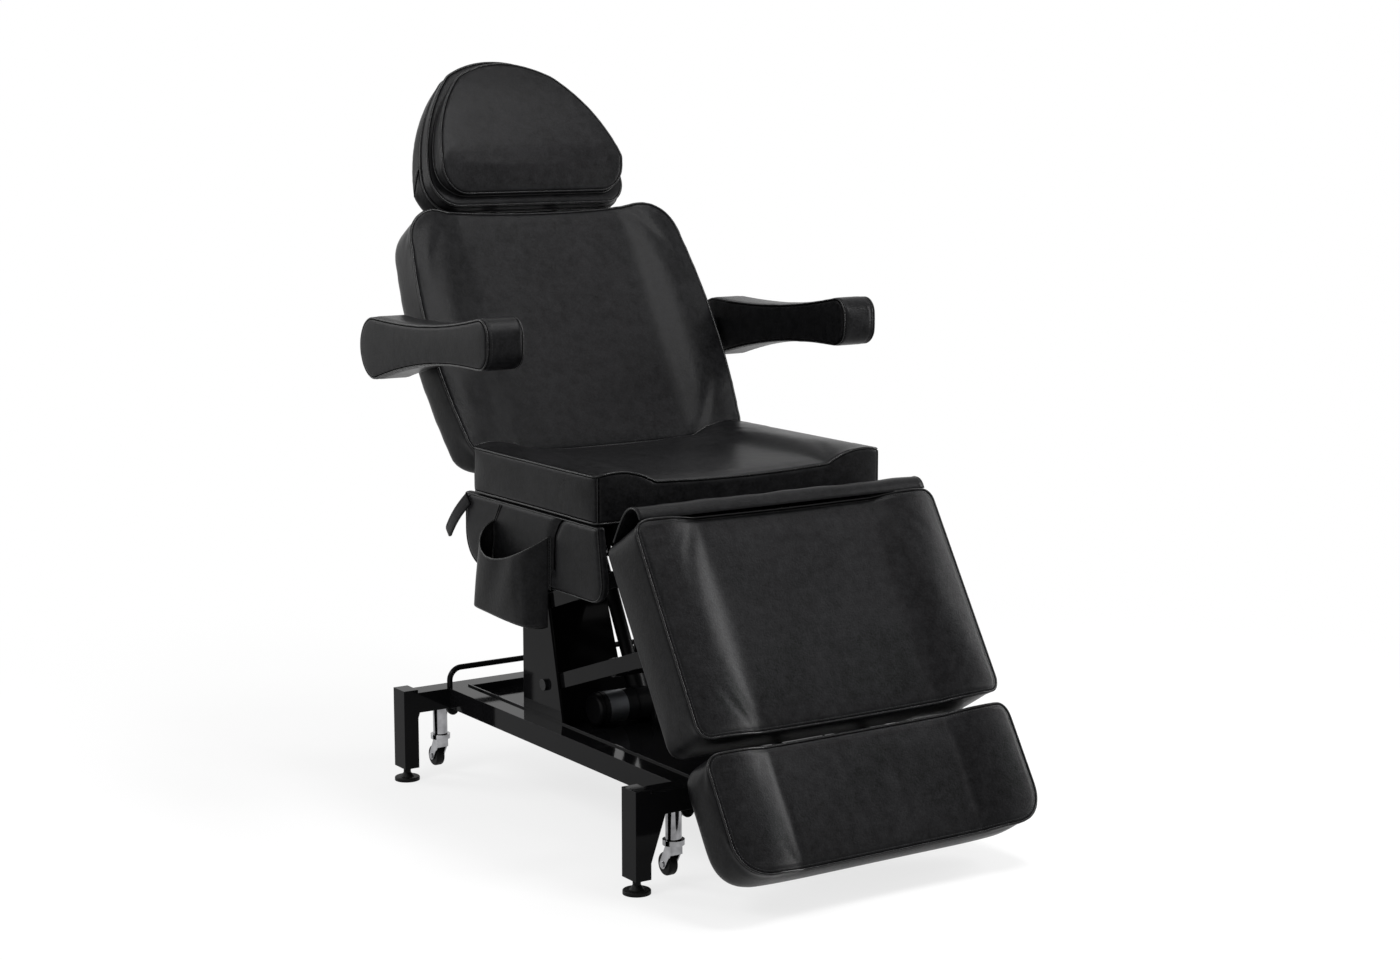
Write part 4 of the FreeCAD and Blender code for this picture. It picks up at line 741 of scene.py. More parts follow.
def thread_row(add, start, line):
    """A row of stitches along a curve, each a short thread that tapers to its ends."""
    pitch = {"Curve": line, "Length": start["Pitch"]}
    spaced = add("GeometryNodeResampleCurve", pitch, mode="LENGTH")
    thread = add("GeometryNodeMeshUVSphere", {"Segments": 6, "Rings": 5, "Radius": 1.0})
    half = add("ShaderNodeMath", {0: start["Length"], 1: 0.5}, operation="MULTIPLY")
    thick = start["Thickness"]
    size = add("ShaderNodeCombineXYZ", {"X": thick, "Y": thick, "Z": half})
    tangent = {"Vector": add("GeometryNodeInputTangent", {})}
    turn = add("FunctionNodeAlignRotationToVector", tangent, axis="Z")
    row = {"Points": spaced, "Instance": thread, "Rotation": turn, "Scale": size}
    return add("GeometryNodeInstanceOnPoints", row)


def line_group(build, numbers):
    """The node group that builds something along a mesh line and gives it a material."""
    name = "chair_" + build.__name__
    if name in bpy.data.node_groups:
        return bpy.data.node_groups[name]
    tree = bpy.data.node_groups.new(name, "GeometryNodeTree")
    kinds = [("Line", "Geometry"), *((key, "Float") for key in numbers), ("Material", "Material")]
    for key, kind in kinds:
        tree.interface.new_socket(key, in_out="INPUT", socket_type="NodeSocket" + kind)
    tree.interface.new_socket("Result", in_out="OUTPUT", socket_type="NodeSocketGeometry")

    def add(kind, inputs, **settings):
        return add_node(tree, kind, inputs, **settings).outputs[0]

    start = tree.nodes.new("NodeGroupInput").outputs
    built = build(add, start, add("GeometryNodeMeshToCurve", {"Mesh": start["Line"]}))
    real = add("GeometryNodeRealizeInstances", {"Geometry": built})
    soft = add("GeometryNodeSetShadeSmooth", {"Geometry": real})
    dressed = {"Geometry": soft, "Material": start["Material"]}
    add_node(tree, "NodeGroupOutput", {0: add("GeometryNodeSetMaterial", dressed)})
    return tree


def along_line(name, lines, build, material, **numbers):
    """What a node group builds on several lines, as one plain mesh."""
    vertices, edges = [], []
    for points, closed in lines:
        first, count = len(vertices), len(points)
        vertices += [tuple(p) for p in points]
        edges += [(first + i, first + i + 1) for i in range(count - 1)]
        if closed:
            edges.append((first + count - 1, first))
    data = bpy.data.meshes.new(name)
    data.from_pydata(vertices, edges, [])
    obj = new_object(name, data)
    modifier = obj.modifiers.new("run", "NODES")
    modifier.node_group = line_group(build, numbers)
    values = {**numbers, "Material": finish(material)}
    for item in modifier.node_group.interface.items_tree:
        if item.name in values:
            modifier[item.identifier] = values[item.name]
    return settled(obj)


def piping(name, lines, body, radius=None, material="piping"):
    """Piping along lines, riding on a body."""
    obj = along_line(name, lines, round_cord, material, Radius=radius or sizes().piping)
    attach(obj, body)


def stitches(name, lines, body):
    """Stitches along lines, riding on a body."""
    obj = along_line(name, lines, thread_row, "thread", Pitch=sizes().stitch_pitch,
                     Length=0.0034, Thickness=0.00045)
    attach(obj, body)


# Cushions

SEAM_WIDTH = 0.0038
ROW_DEPTH, ROW_WIDTH = 0.0011, 0.0027
# how far to each side of a seam its line of painted shade lies
SHADE_LINE_GAP = 0.0024
# how far around a seam the cover is kept crisp, is redrawn to meet it, and is held from filling
CRISP_REACH, REDRAWN_REACH, HELD_REACH = 0.009, 0.008, 0.007
CLOTH = {
    "quality": 3, "mass": 0.25, "tension_stiffness": 12, "compression_stiffness": 12,
    "shear_stiffness": 6, "bending_stiffness": 0.6, "use_pressure": True,
}


def inflate(obj, held, cap, frames=11):
    """Let pressure push the cover out between its seams, and cap how far it goes."""
    group = obj.vertex_groups.new(name="held")
    for level in np.unique(np.round(held, 1)):
        if level > 0:
            chosen = np.nonzero(np.round(held, 1) == level)[0]
            group.add([int(i) for i in chosen], float(level), "REPLACE")
    start = vectors(obj.data)
    modifier = obj.modifiers.new("filling", "CLOTH")
    for key, value in CLOTH.items():
        setattr(modifier.settings, key, value)
    modifier.settings.uniform_pressure_force = sizes().pressure
    modifier.settings.effector_weights.gravity = 0.0
    modifier.settings.vertex_group_mass = "held"
    modifier.collision_settings.use_collision = False
    modifier.point_cache.frame_start = 1
    modifier.point_cache.frame_end = frames
    scene = bpy.context.scene
    for number in range(1, frames + 1):
        scene.frame_set(number)
    moved = obj.evaluated_get(bpy.context.evaluated_depsgraph_get())
    step = vectors(moved.data) - start
    length = np.maximum(np.linalg.norm(step, axis=1), 1e-9)
    limit = cap(start) if callable(cap) else np.full(len(start), cap)
    # a soft cap, so that the surface stays smooth where it is reached
    step *= (limit * np.tanh(length / limit) / length)[:, None]
    obj.modifiers.clear()
    obj.vertex_groups.clear()
    scene.frame_set(1)
    move(obj, start + step)


def node_copy(node, name, panel):
    """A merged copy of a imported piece, in a panel's own frame."""
    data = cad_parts[node].data.copy()
    merged(data, 0.00002)
    data.materials.clear()
    obj = new_object(name, data)
    move(obj, panel.local(vectors(data)))
    return obj


def cushion(name, node, panel, seams, cap, flat=None, rims=(), rounds=30, voxel=None, fill=0.85,
            rows=(), subdivide=True, shape=None):
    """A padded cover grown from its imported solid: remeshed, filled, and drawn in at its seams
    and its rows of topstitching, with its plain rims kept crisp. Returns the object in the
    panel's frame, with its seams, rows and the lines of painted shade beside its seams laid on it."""
    obj = node_copy(node, name, panel)
    with_modifier(obj, "REMESH", mode="VOXEL", voxel_size=voxel or sizes().voxel, adaptivity=0.0)
    if shape is not None:
        move(obj, shape(vectors(obj.data)))
    edges = np.zeros(len(obj.data.edges) * 2, np.int64)
    obj.data.edges.foreach_get("vertices", edges)
    edges = edges.reshape(-1, 2)
    seams = [(refined(line, closed), closed) for line, closed in seams]
    rims = [(refined(line, closed), closed) for line, closed in rims]
    lines = [line for line, _ in seams]
    crisp = lines + [line for line, _ in rims]
    points = smoothed(vectors(obj.data), edges, 2)
    kept = np.exp(-(distances(points, crisp) / CRISP_REACH) ** 2)
    move(obj, smoothed(points, edges, rounds, kept))
    laid = [snapped(line, obj, 0.0, 2, closed) for line, closed in seams + rims]
    move(obj, drawn_to(vectors(obj.data), crisp, laid, REDRAWN_REACH))
    points = vectors(obj.data)
    held = np.clip(1.3 - distances(points, lines) / HELD_REACH, 0.0, 1.0)
    if flat is not None:
        held = np.maximum(held, flat(points).astype(float))
    inflate(obj, held, cap)
    move(obj, smoothed(vectors(obj.data), edges, 3, np.maximum(held, kept)))
    if subdivide:
        with_modifier(obj, "SUBSURF", levels=1, render_levels=1)
    pressed(obj, lines, sizes().seam_depth, SEAM_WIDTH)
    rows = [(snapped(refined(line, closed), obj, 0.0, 4, closed), closed) for line, closed in rows]
    if rows:
        pressed(obj, [line for line, _ in rows], ROW_DEPTH, ROW_WIDTH)
        rows = [(snapped(line, obj, 0.0002, 2, closed), closed) for line, closed in rows]
    shade_smooth(obj)
    obj.data.materials.append(finish("vinyl"))
    laid = [(snapped(line, obj, 0.0010, 5, closed), closed) for line, closed in seams]
    # a near-black cord on each side of every seam: painted shade where the cover dips into it
    shade_lines = [(beside(line, obj, by, closed), closed) for line, closed in laid
               for by in (-SHADE_LINE_GAP, SHADE_LINE_GAP)]
    obj["fill"] = fill
    return obj, laid, rows, shade_lines


def place_cushion(obj, panel, body, node):
    """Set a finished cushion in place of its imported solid."""
    move(obj, panel.world(vectors(obj.data)))
    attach(obj, body)
    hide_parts(node)


def placed(lines, panel):
    """Lines of a panel in the chair's frame."""
    return [(panel.world(points), closed) for points, closed in lines]


def upholster(title, pad, node, panel, body, seams, cap, pipings, crease=0.0008, **more):
    """A cushion in its place, with pipings along its seams (each with a name, how many of the
    seams it takes and a radius), a painted shade line on each side of them and its topstitching."""
    obj, lines, rows, shade_lines = cushion(pad, node, panel, seams, cap, **more)
    place_cushion(obj, panel, body, node)
    lines = placed(lines, panel)
    for name, count, radius in pipings:
        piping(name, lines[:count], body, radius)
        lines = lines[count:]
    if rows:
        stitches(title + "_stitches", placed(rows, panel), body)
    # the near-black cords beside the seams are painted shade
    piping(title + "_creases", placed(shade_lines, panel), body, crease, "crease")


class CHAIR_OT_stage(bpy.types.Operator):
    """Set up the camera, the lights, the world and the floor"""

    bl_idname = "chair.stage"
    bl_label = "Stage"

    def execute(self, context):
        scene = context.scene
        scene.view_settings.view_transform = "Standard"
        sensor, focal_pixels, picture_width = 36.0, 2508.06, 1400.0
        camera = bpy.data.cameras.new("view")
        camera.sensor_width = sensor
        camera.lens = sensor * focal_pixels / picture_width
        camera.clip_end = 60.0
        eye = bpy.data.objects.new("view", camera)
        eye.location = (-2.48321, -3.72526 + SHIFT, 1.32853)
        eye.rotation_euler = (math.radians(90 - 9.0193), 0.0, math.radians(-33.7505))
        scene.collection.objects.link(eye)
        scene.camera = eye
        self.lights(scene)
        self.world(scene)
        self.floor()
        return {"FINISHED"}

    def lights(self, scene):
        """Five soft lamps."""
        for name, place, target, size, power in (
            ("strip", (2.3, -1.0, 1.35), (0.0, -0.5, 0.45), (0.45, 1.5), 52.0),
            ("overhead", (0.45, -1.15, 2.95), (0.0, 0.35, 0.9), (0.55, 1.1), 46.0),
            ("wide", (-2.9, -0.6, 2.9), (0.0, 0.0, 0.6), (1.4, 1.4), 50.0),
            ("rear", (-2.4, 3.0, 1.9), (0.0, 0.2, 0.6), (1.2, 1.6), 40.0),
            ("head", (0.70, -0.15, 3.25), (-0.05, 0.65, 1.3), (0.6, 0.6), 20.0),
        ):
            lamp = bpy.data.lights.new(name, "AREA")
            lamp.shape = "RECTANGLE"
            lamp.size, lamp.size_y = size
            lamp.energy = power
            obj = bpy.data.objects.new(name, lamp)
            obj.location = place
            aim = Vector(target) - Vector(place)
            obj.rotation_euler = aim.to_track_quat("-Z", "Y").to_euler()
            scene.collection.objects.link(obj)

    def world(self, scene):
        """A dim room that looks white to the camera and in mirrors."""
        scene.world = bpy.data.worlds.new("room")
        scene.world.use_nodes = True
        tree = scene.world.node_tree
        tree.nodes.clear()
        room, white = [
            add_node(tree, "ShaderNodeBackground", {"Color": WHITE, "Strength": strength}).outputs[0]
            for strength in (0.45, 1.0)
        ]
        mix = add_node(tree, "ShaderNodeMixShader", {0: seen_rays(tree), 1: room, 2: white})
        add_node(tree, "ShaderNodeOutputWorld", {"Surface": mix.outputs[0]})

    def floor(self):
        """A plain pale floor that turns white away from the chair."""
        half = 14.0
        corners = [(-half, -half, 0), (half, -half, 0), (half, half, 0), (-half, half, 0)]
        floor = mesh_of("floor", corners, [(0, 1, 2, 3)])
        f = Finish("pale_floor")
        pale = f.tone(f.noise(3.0, 2.0, 0.5), colours().floor, 0.985, 1.0)
        matt = f.add("ShaderNodeBsdfDiffuse", {"Color": pale}).outputs[0]
        white = f.add("ShaderNodeEmission", {"Color": WHITE, "Strength": 1.0}).outputs[0]
        away = f.add("ShaderNodeVectorMath", {0: f.place}, operation="LENGTH").outputs["Value"]
        fade = f.add(
            "ShaderNodeMapRange",
            {"Value": away, "From Min": 0.6, "From Max": 2.2, "To Min": 0.76, "To Max": 1.0},
            interpolation_type="SMOOTHSTEP",
        )
        share = seen_rays(f.tree) * fade.outputs[0]
        mix = f.add("ShaderNodeMixShader", {0: share, 1: matt, 2: white})
        f.add("ShaderNodeOutputMaterial", {"Surface": mix.outputs[0]})
        floor.data.materials.append(f.material)


# the cord's middle line in millimetres, from the handset's relief to the gland
CORD_ROUTE = (
    (313.0, 30.0, 334.0), (313.0, 30.0, 302.0), (314.0, 32.0, 258.0), (316.0, 37.0, 206.0),
    (318.0, 47.0, 154.0), (320.0, 66.0, 107.0), (322.0, 98.0, 73.0), (323.0, 141.0, 57.0),
    (323.0, 187.0, 62.0), (322.0, 227.0, 88.0), (321.0, 254.0, 130.0), (319.0, 270.0, 180.0),
    (317.0, 279.0, 234.0), (315.5, 283.0, 290.0), (314.0, 284.5, 346.0), (313.3, 285.0, 392.0),
    (313.0, 285.0, 430.0), (313.0, 285.0, 465.0),
)


class CHAIR_OT_cord(bpy.types.Operator):
    """Hang the handset's cord"""

    bl_idname = "chair.cord"
    bl_label = "Handset cord"

    def execute(self, context):
        curve = bpy.data.curves.new("handset_lead", "CURVE")
        curve.dimensions = "3D"
        spline = curve.splines.new("NURBS")
        spline.points.add(len(CORD_ROUTE) - 1)
        for point, (x, y, z) in zip(spline.points, CORD_ROUTE):
            point.co = (x / 1000, y / 1000 + SHIFT, z / 1000, 1.0)
        spline.order_u = 3
        spline.use_endpoint_u = True
        spline.resolution_u = 8
        curve.bevel_depth = 0.0025
        curve.bevel_resolution = 4
        curve.use_fill_caps = True
        obj = new_object("handset_lead", curve, "cord")
        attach(obj, "seat")
        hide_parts("handset_cord")
        x, y, z = CORD_ROUTE[0]
        return {"FINISHED"}


class CHAIR_OT_seat(bpy.types.Operator):
    """Upholster the seat"""

    bl_idname = "chair.seat"
    bl_label = "Seat cushion"

    def execute(self, context):
        half, front, rear = 0.305, -0.150, 0.293
        top, bottom, corner = 0.668, 0.583, 0.018
        face = bolstered(half, 0.120, 0.005, 0.016)
        plan = traced(box_steps(half - 0.001, front + 0.001, rear - 0.001, corner, corner))
        upper = [(x, y, top - face(x)) for x, y in plan]
        lower = [(x, y, bottom + 0.004) for x, y in plan]
        by = corner * BEND
        posts = [
            [(x, y, bottom + 0.006 + i * 0.0035) for i in range(23)]
            for x in (-half + by, half - by) for y in (front + by, rear - by)
        ]

        def cap(p):
            out = 0.0045 - 0.0030 * eased(p[:, 1], rear - 0.06, rear - 0.01)
            return out - 0.0015 * eased(-p[:, 1], -front - 0.04, -front)

        upholster(
            "seat", "seat_pad", "seat_cushion", LEVEL, "seat",
            [(upper, True), (lower, True)] + [(line, False) for line in posts], cap,
            [("seat_piping", 2, None), ("seat_corner_seams", 4, 0.0015)],
            flat=lambda p: p[:, 2] < bottom + 0.0012, fill=0.9,
        )
        return {"FINISHED"}


class CHAIR_OT_backrest(bpy.types.Operator):
    """Upholster the backrest"""

    bl_idname = "chair.backrest"
    bl_label = "Backrest"

    def execute(self, context):
        face = bolstered(0.321, 0.125, 0.004, 0.013)
        lowest = 0.062
        rim = inset(traced(back_steps()), 0.001)
        front = [(x, face(x), max(u, lowest)) for x, u in rim]

        def cap(p):
            low = 0.0030 * eased(-p[:, 2], -0.22, -0.09) * eased(-p[:, 1], -0.08, -0.04)
            return 0.0045 - np.maximum(low, 0.0035 * eased(p[:, 1], 0.060, 0.085))

        upholster(
            "back", "back_pad", "backrest_cushion", BACK, "back", [(front, True)], cap,
            [("back_piping", 1, 0.0025)], crease=0.0009, flat=lambda p: p[:, 1] > 0.0895,
        )
        return {"FINISHED"}


class CHAIR_OT_headrest(bpy.types.Operator):
    """Upholster the headrest's base and its pillow"""

    bl_idname = "chair.headrest"
    bl_label = "Headrest"

    def packed(self, u):
        """How far behind the backrest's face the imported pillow's front lies at a height."""
        face, rear = -0.034, 0.008
        crown = (rear - face) / 3
        low, bend = (face + crown / 2, 0.662), (face + crown, 0.6207)
        path = [(face + crown, 0.887)]
        path += arc(path[0], (face, 0.7745), low, 0.004) + arc(low, bend, (-0.008, 0.600), 0.004)
        path.reverse()
        return np.interp(u, [p[1] for p in path], [p[0] for p in path])

    def face(self, x, u):
        """The same for the finished pillow, which folds along a low crease."""
        heights = (0.598, 0.610, 0.622, 0.640, 0.652, 0.662, 0.680, 0.720, 0.780, 0.840, 0.889)
        depths = (-0.006, -0.012, -0.018, -0.0255, -0.0295, -0.0350, -0.0350, -0.033, -0.030,
                  -0.024, -0.016)
        sag = 0.014 * (1 - np.minimum(np.abs(x) / 0.2, 1.0) ** 2) * np.clip((u - 0.60) / 0.04, 0, 1)
        return np.interp(u + sag, heights, depths)

    def folded(self, p):
        """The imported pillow's vertices on the finished face."""
        out, rear = p.copy(), 0.008
        share = (rear - p[:, 1]) / (rear - self.packed(p[:, 2]))
        out[:, 1] = rear - share * (rear - self.face(p[:, 0], p[:, 2]))
        return out

    def drawn_in(self, p):
        """The base cushion's vertices, drawn in a little towards its front and let down."""
        out = p.copy()
        out[:, 0] = p[:, 0] * (1 - 0.045 * np.clip((0.066 - p[:, 1]) / 0.05, 0.0, 1.0))
        out[:, 2] -= 0.005 * np.clip((0.645 - p[:, 2]) / 0.05, 0.0, 1.0)
        return out

    def execute(self, context):
        rim = traced(dome_steps(0.225, 0.588, 0.906, 0.052))
        seams = [(self.drawn_in(np.array([(x, v, u) for x, u in rim])), True) for v in (0.010, 0.036)]
        for side, _ in SIDES:
            line = [(side * 0.226, 0.036 + 0.034 * t, 0.682 - 0.044 * t)
                    for t in np.linspace(0, 1, 16)]
            seams.append((self.drawn_in(np.array(line)), False))
        upholster(
            "headrest_base", "headrest_base_pad", "headrest_cushion", BACK, "headrest", seams, 0.004,
            [("headrest_base_piping", 2, 0.0026), ("headrest_side_seams", 2, 0.0011)],
            voxel=0.005, rounds=6, fill=0.9, shape=self.drawn_in,
        )
        rim = traced(dome_steps(0.203, 0.600, 0.887, 0.052))
        front = [(x, float(self.face(x, u)), u) for x, u in rim]
        rear = [(x, 0.004, u) for x, u in rim]
        upholster(
            "headrest_pillow", "headrest_pillow_pad", "headrest_pillow", BACK, "headrest",
            [(front, True), (rear, True)], 0.003,
            [("headrest_pillow_piping", 1, 0.0020), ("headrest_pillow_rear_piping", 1, 0.0022)],
            flat=lambda p: p[:, 1] > 0.0065, rounds=4, voxel=0.0045, fill=0.8, shape=self.folded,
        )
        return {"FINISHED"}


def nosed(points):
    """Places on an armrest with its front end filled out and rounded more."""
    out = np.array(points, float).reshape(-1, 3)
    front, centre, half, old, new = 0.025, 0.883, 0.044, 0.016, 0.030
    gone = np.maximum(out[:, 1] - front, 0.0)

    def height(nose):
        inside = np.minimum(gone, nose)
        return half - nose + np.sqrt(nose ** 2 - (nose - inside) ** 2)

    near = 1 - eased(out[:, 1], front, front + 0.22)
    out[:, 2] = centre + (out[:, 2] - centre) * (1.04 + 0.045 * near) * height(new) / height(old)
    crown = 1 - np.minimum(np.abs(out[:, 2] - centre) / 0.05, 1.0) ** 2
    out[:, 1] -= 0.006 * crown * (1 - eased(out[:, 1], front, front + 0.05))
    return out


class CHAIR_OT_armrests(bpy.types.Operator):
    """Upholster the two armrests"""

    bl_idname = "chair.armrests"
    bl_label = "Armrests"

    def execute(self, context):
        outline = traced(arm_steps())
        tight = inset(outline, 0.002)
        for side, hand in SIDES:
            outer, inner = side * 0.4165, side * 0.3455
            arm = hand + "_armrest"
            seams = [(nosed([(x, y, z) for y, z in tight]), True) for x in (outer, inner)]
            upholster(
                arm, arm + "_pad", arm, LEVEL, hand + "_arm", seams, 0.004,
                [(arm + "_piping", 2, 0.0019)], voxel=0.0045, rounds=6, fill=0.9, shape=nosed,
                rows=[(nosed([(outer - side * 0.009, y, z) for y, z in outline]), True)],
            )
        return {"FINISHED"}


class CHAIR_OT_leg_cushions(bpy.types.Operator):
    """Upholster the leg rest and the foot rest"""

    bl_idname = "chair.leg_cushions"
    bl_label = "Leg and foot rests"

    def execute(self, context):
        for rest, body, half, low, high, thick, corner, gap, fuller_by in (
            ("leg_rest", "leg", 0.315, -0.384, 0.0, 0.105, 0.024, -0.384, -0.0050),
            ("foot_rest", "foot", 0.317, -0.622, -0.414, 0.100, 0.060, -0.414, 0.0055),
        ):
            face = bolstered(half, 0.125, 0.004, 0.012)

            def fuller(p):
                """Places near the gap between the two rests, filled out towards it."""
                out = np.array(p, float)
                near = np.clip(1 - np.abs(out[:, 2] - gap) / 0.06, 0.0, 1.0)
                out[:, 2] += fuller_by * near * (1 + 0.7 * out[:, 0])
                return out

            def cap(p):
                rear = 0.0035 * eased(p[:, 1], thick - 0.035, thick - 0.01)
                return 0.0045 - np.maximum(rear, 0.0025 * eased(p[:, 2], high - 0.05, high - 0.01))

            plain = traced(box_steps(half - 0.001, low + 0.001, high - 0.001, corner, 0.024))
            outline = [(x, u) for x, _, u in fuller([(x, 0.0, u) for x, u in plain])]
            front = [(x, face(x), u) for x, u in outline]
            row = [(x, face(x), u) for x, u in inset(outline, 0.0065)]
            rim = [(x, thick - 0.001, u) for x, u in inset(outline, 0.001)]
            pad = rest + "_pad"
            upholster(
                pad, pad, rest + "_cushion", LEG, body, [(front, True)], cap,
                [(pad + "_piping", 1, 0.0021)], flat=lambda p: p[:, 1] > thick - 0.0015,
                rows=[(row, True)], shape=fuller, rims=[(rim, True)] if body == "leg" else (),
            )
        return {"FINISHED"}


class CHAIR_OT_flap(bpy.types.Operator):
    """Fold the sheet over the gap in front of the seat"""

    bl_idname = "chair.flap"
    bl_label = "Front flap"

    def execute(self, context):
        across, along = 72, 28
        half, thick = 0.300, 0.0024
        bends = np.array([(0.0, 0.0), (-0.0015, 0.011), (0.004, 0.022), (0.016, 0.029),
                          (0.030, 0.0300), (0.050, 0.024), (0.073, 0.0125), (0.096, 0.0)])
        steps = travelled(bends)
        even = np.linspace(0.0, steps[-1], along + 1)
        arch = np.stack([np.interp(even, steps, bends[:, k]) for k in range(2)], 1)
        arch = evened(arch, 3, False)
        points = []
        for i in range(across + 1):
            x = -half + 2 * half * i / across
            wave = 0.0012 * math.sin(x * 31.0) + 0.0008 * math.sin(x * 77.0 + 1.0)
            for k, (v, u) in enumerate(arch):
                lift = math.sin(math.pi * k / along)
                points.append((x, v + wave * 0.6 * lift, u + wave * lift - 0.0006))
        flap = mesh_of("front_flap", LEG.world(points), grid_faces(across, along), "vinyl")
        with_modifier(flap, "SOLIDIFY", thickness=thick, offset=-1.0)
        shade_smooth(flap)
        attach(flap, "leg")
        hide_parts("hinge_flap")
        hems = [(LEG.world([(side * (half - 0.0015), v, u) for v, u in arch]), False)
                for side, _ in SIDES]
        hem = along_line("front_flap_hem", hems, round_cord, "piping", Radius=0.0022)
        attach(hem, "leg")
        anchor = LEG.world([(0.0, 0.0, 0.0)])[0]
        axis = LEG.world([(0.0, 0.0, 1.0)])[0] - anchor
        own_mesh(flap)
        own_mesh(hem)
        return {"FINISHED"}


class CHAIR_OT_side_panels(bpy.types.Operator):
    """Upholster the side panels, the bag and the strap"""

    bl_idname = "chair.side_panels"
    bl_label = "Side panels, bag and strap"

    def execute(self, context):
        rim = inset(traced(side_steps()), 0.003)
        for side, hand in SIDES:
            node = hand + "_side_panel"
            pad, lines, _, _ = cushion(
                hand + "_side_pad", node, LEVEL, [([(side * 0.3015, y, z) for y, z in rim], True)],
                0.002, flat=lambda p: (p[:, 0] * side < 0.288) | (p[:, 2] > 0.578), voxel=0.004,
                rounds=2, fill=0.6, subdivide=False,
            )
            if hand == "right":
                self.valley(pad)
            place_cushion(pad, LEVEL, "seat", node)
            piping(hand + "_side_piping", placed(lines, LEVEL), "seat", 0.0013)
        self.bag()
        self.strap()
        return {"FINISHED"}

    def valley(self, pad):
        """The fold in front of the bag, pressed into the right panel, with a painted shadow along its
        bottom.
        """
        top, bend, low = (-0.026, 0.584), (0.001, 0.545), (0.003, 0.486)
        path = [top] + straight(top, bend, 0.004) + straight(bend, low, 0.004)
        line = [(-0.303, y, z) for y, z in path]
        pressed(pad, [line], 0.0070, 0.010)
        # a near-black cord along the fold's bottom: painted shadow of the deep fold
        line = snapped(line[1:], pad, 0.0004, 3, False)
        piping("side_panel_crease", [(LEVEL.world(line), False)], "seat", 0.0014, "crease")

    def bag(self):
        """The open bag: a full front on narrow gussets, with a slanting mouth."""
        mouth = np.array([
            (-0.3045, 0.014, 0.541), (-0.315, 0.019, 0.534), (-0.327, 0.031, 0.5235),
            (-0.336, 0.050, 0.5125), (-0.340, 0.079, 0.501), (-0.3405, 0.112, 0.491),
            (-0.3405, 0.145, 0.485), (-0.3405, 0.175, 0.4865), (-0.3395, 0.195, 0.495),
            (-0.336, 0.2065, 0.5085), (-0.329, 0.211, 0.5225), (-0.320, 0.2115, 0.5335),
            (-0.311, 0.210, 0.540), (-0.3045, 0.208, 0.543),
        ])
        foot = np.array([
            (-0.3045, 0.018, 0.380), (-0.315, 0.020, 0.3785), (-0.327, 0.027, 0.3765),
            (-0.3365, 0.040, 0.3745), (-0.340, 0.070, 0.375), (-0.3405, 0.110, 0.377),
            (-0.3405, 0.150, 0.379), (-0.3405, 0.185, 0.3808), (-0.3405, 0.210, 0.382),
            (-0.340, 0.224, 0.3828), (-0.334, 0.229, 0.383), (-0.324, 0.2295, 0.383),
            (-0.313, 0.229, 0.383), (-0.3045, 0.2285, 0.383),
        ])
        across, up, wall = 104, 56, 0.3032
        marks = travelled(mouth) + travelled(foot)
        marks /= marks[-1]
        shares = np.linspace(0.0, 1.0, across + 1)
        high, low = [
            evened(np.stack([np.interp(shares, marks, line[:, k]) for k in range(3)], 1), 8, False)
            for line in (mouth, foot)
        ]
        vertices = []
        for i, s in enumerate(shares):
            for k in range(up + 1):
                t = k / up
                x, y, z = low[i] * (1 - t) + high[i] * t
                shut = min(1.0, (t + 0.004) / 0.05)
                swell = math.sin(math.pi * s) * math.sin(math.pi * min(1.0, t * 0.9 + 0.05))
                fold = math.sin(y * 62 + z * 34) * math.sin(math.pi * s) ** 2 * (0.25 + t)
                out = (-x - wall) * math.sqrt(shut * (2 - shut))
                out += (0.0030 * swell + 0.0011 * fold) * min(1.0, out / 0.02)
                vertices.append((-wall - max(0.0012, out), y + SHIFT, z))
        bag = mesh_of("side_bag", vertices, grid_faces(across, up), "vinyl")
        with_modifier(bag, "SOLIDIFY", thickness=0.0018, offset=0.0)
        shade_smooth(bag)
        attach(bag, "seat")
        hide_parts("side_pocket")
        n = up + 1
        rim = [vertices[i * n + up] for i in range(across + 1)]
        base = [vertices[i * n + 3] for i in range(6, across - 4)]

        def flange(x, gap, shares):
            """A line up the flange in front of the bag."""
            return [(x, 0.014 + 0.004 * (1 - t) - gap + SHIFT, 0.380 + 0.161 * t) for t in shares]

        seams = [base, [(-0.3042, 0.2085 + SHIFT, z) for z in np.linspace(0.470, 0.543, 30)]]
        seams += [flange(-0.3042, gap, np.linspace(0.42, 1.0, 50)) for gap in (0.0005, 0.0085)]
        seams += [
            [(-0.3042, 0.208 - 0.021 * t - gap + SHIFT, 0.543 + 0.032 * t)
             for t in np.linspace(0.0, 1.0, 14)] for gap in (0.0, 0.006)
        ]
        piping("side_bag_binding", [(rim, False)], "seat", 0.0017)
        piping("side_bag_seams", [(line, False) for line in seams], "seat", 0.0010)
        row = flange(-0.3048, 0.0045, np.linspace(0.45, 1.0, 50))
        stitches("side_bag_stitches", [(row, False)], "seat")

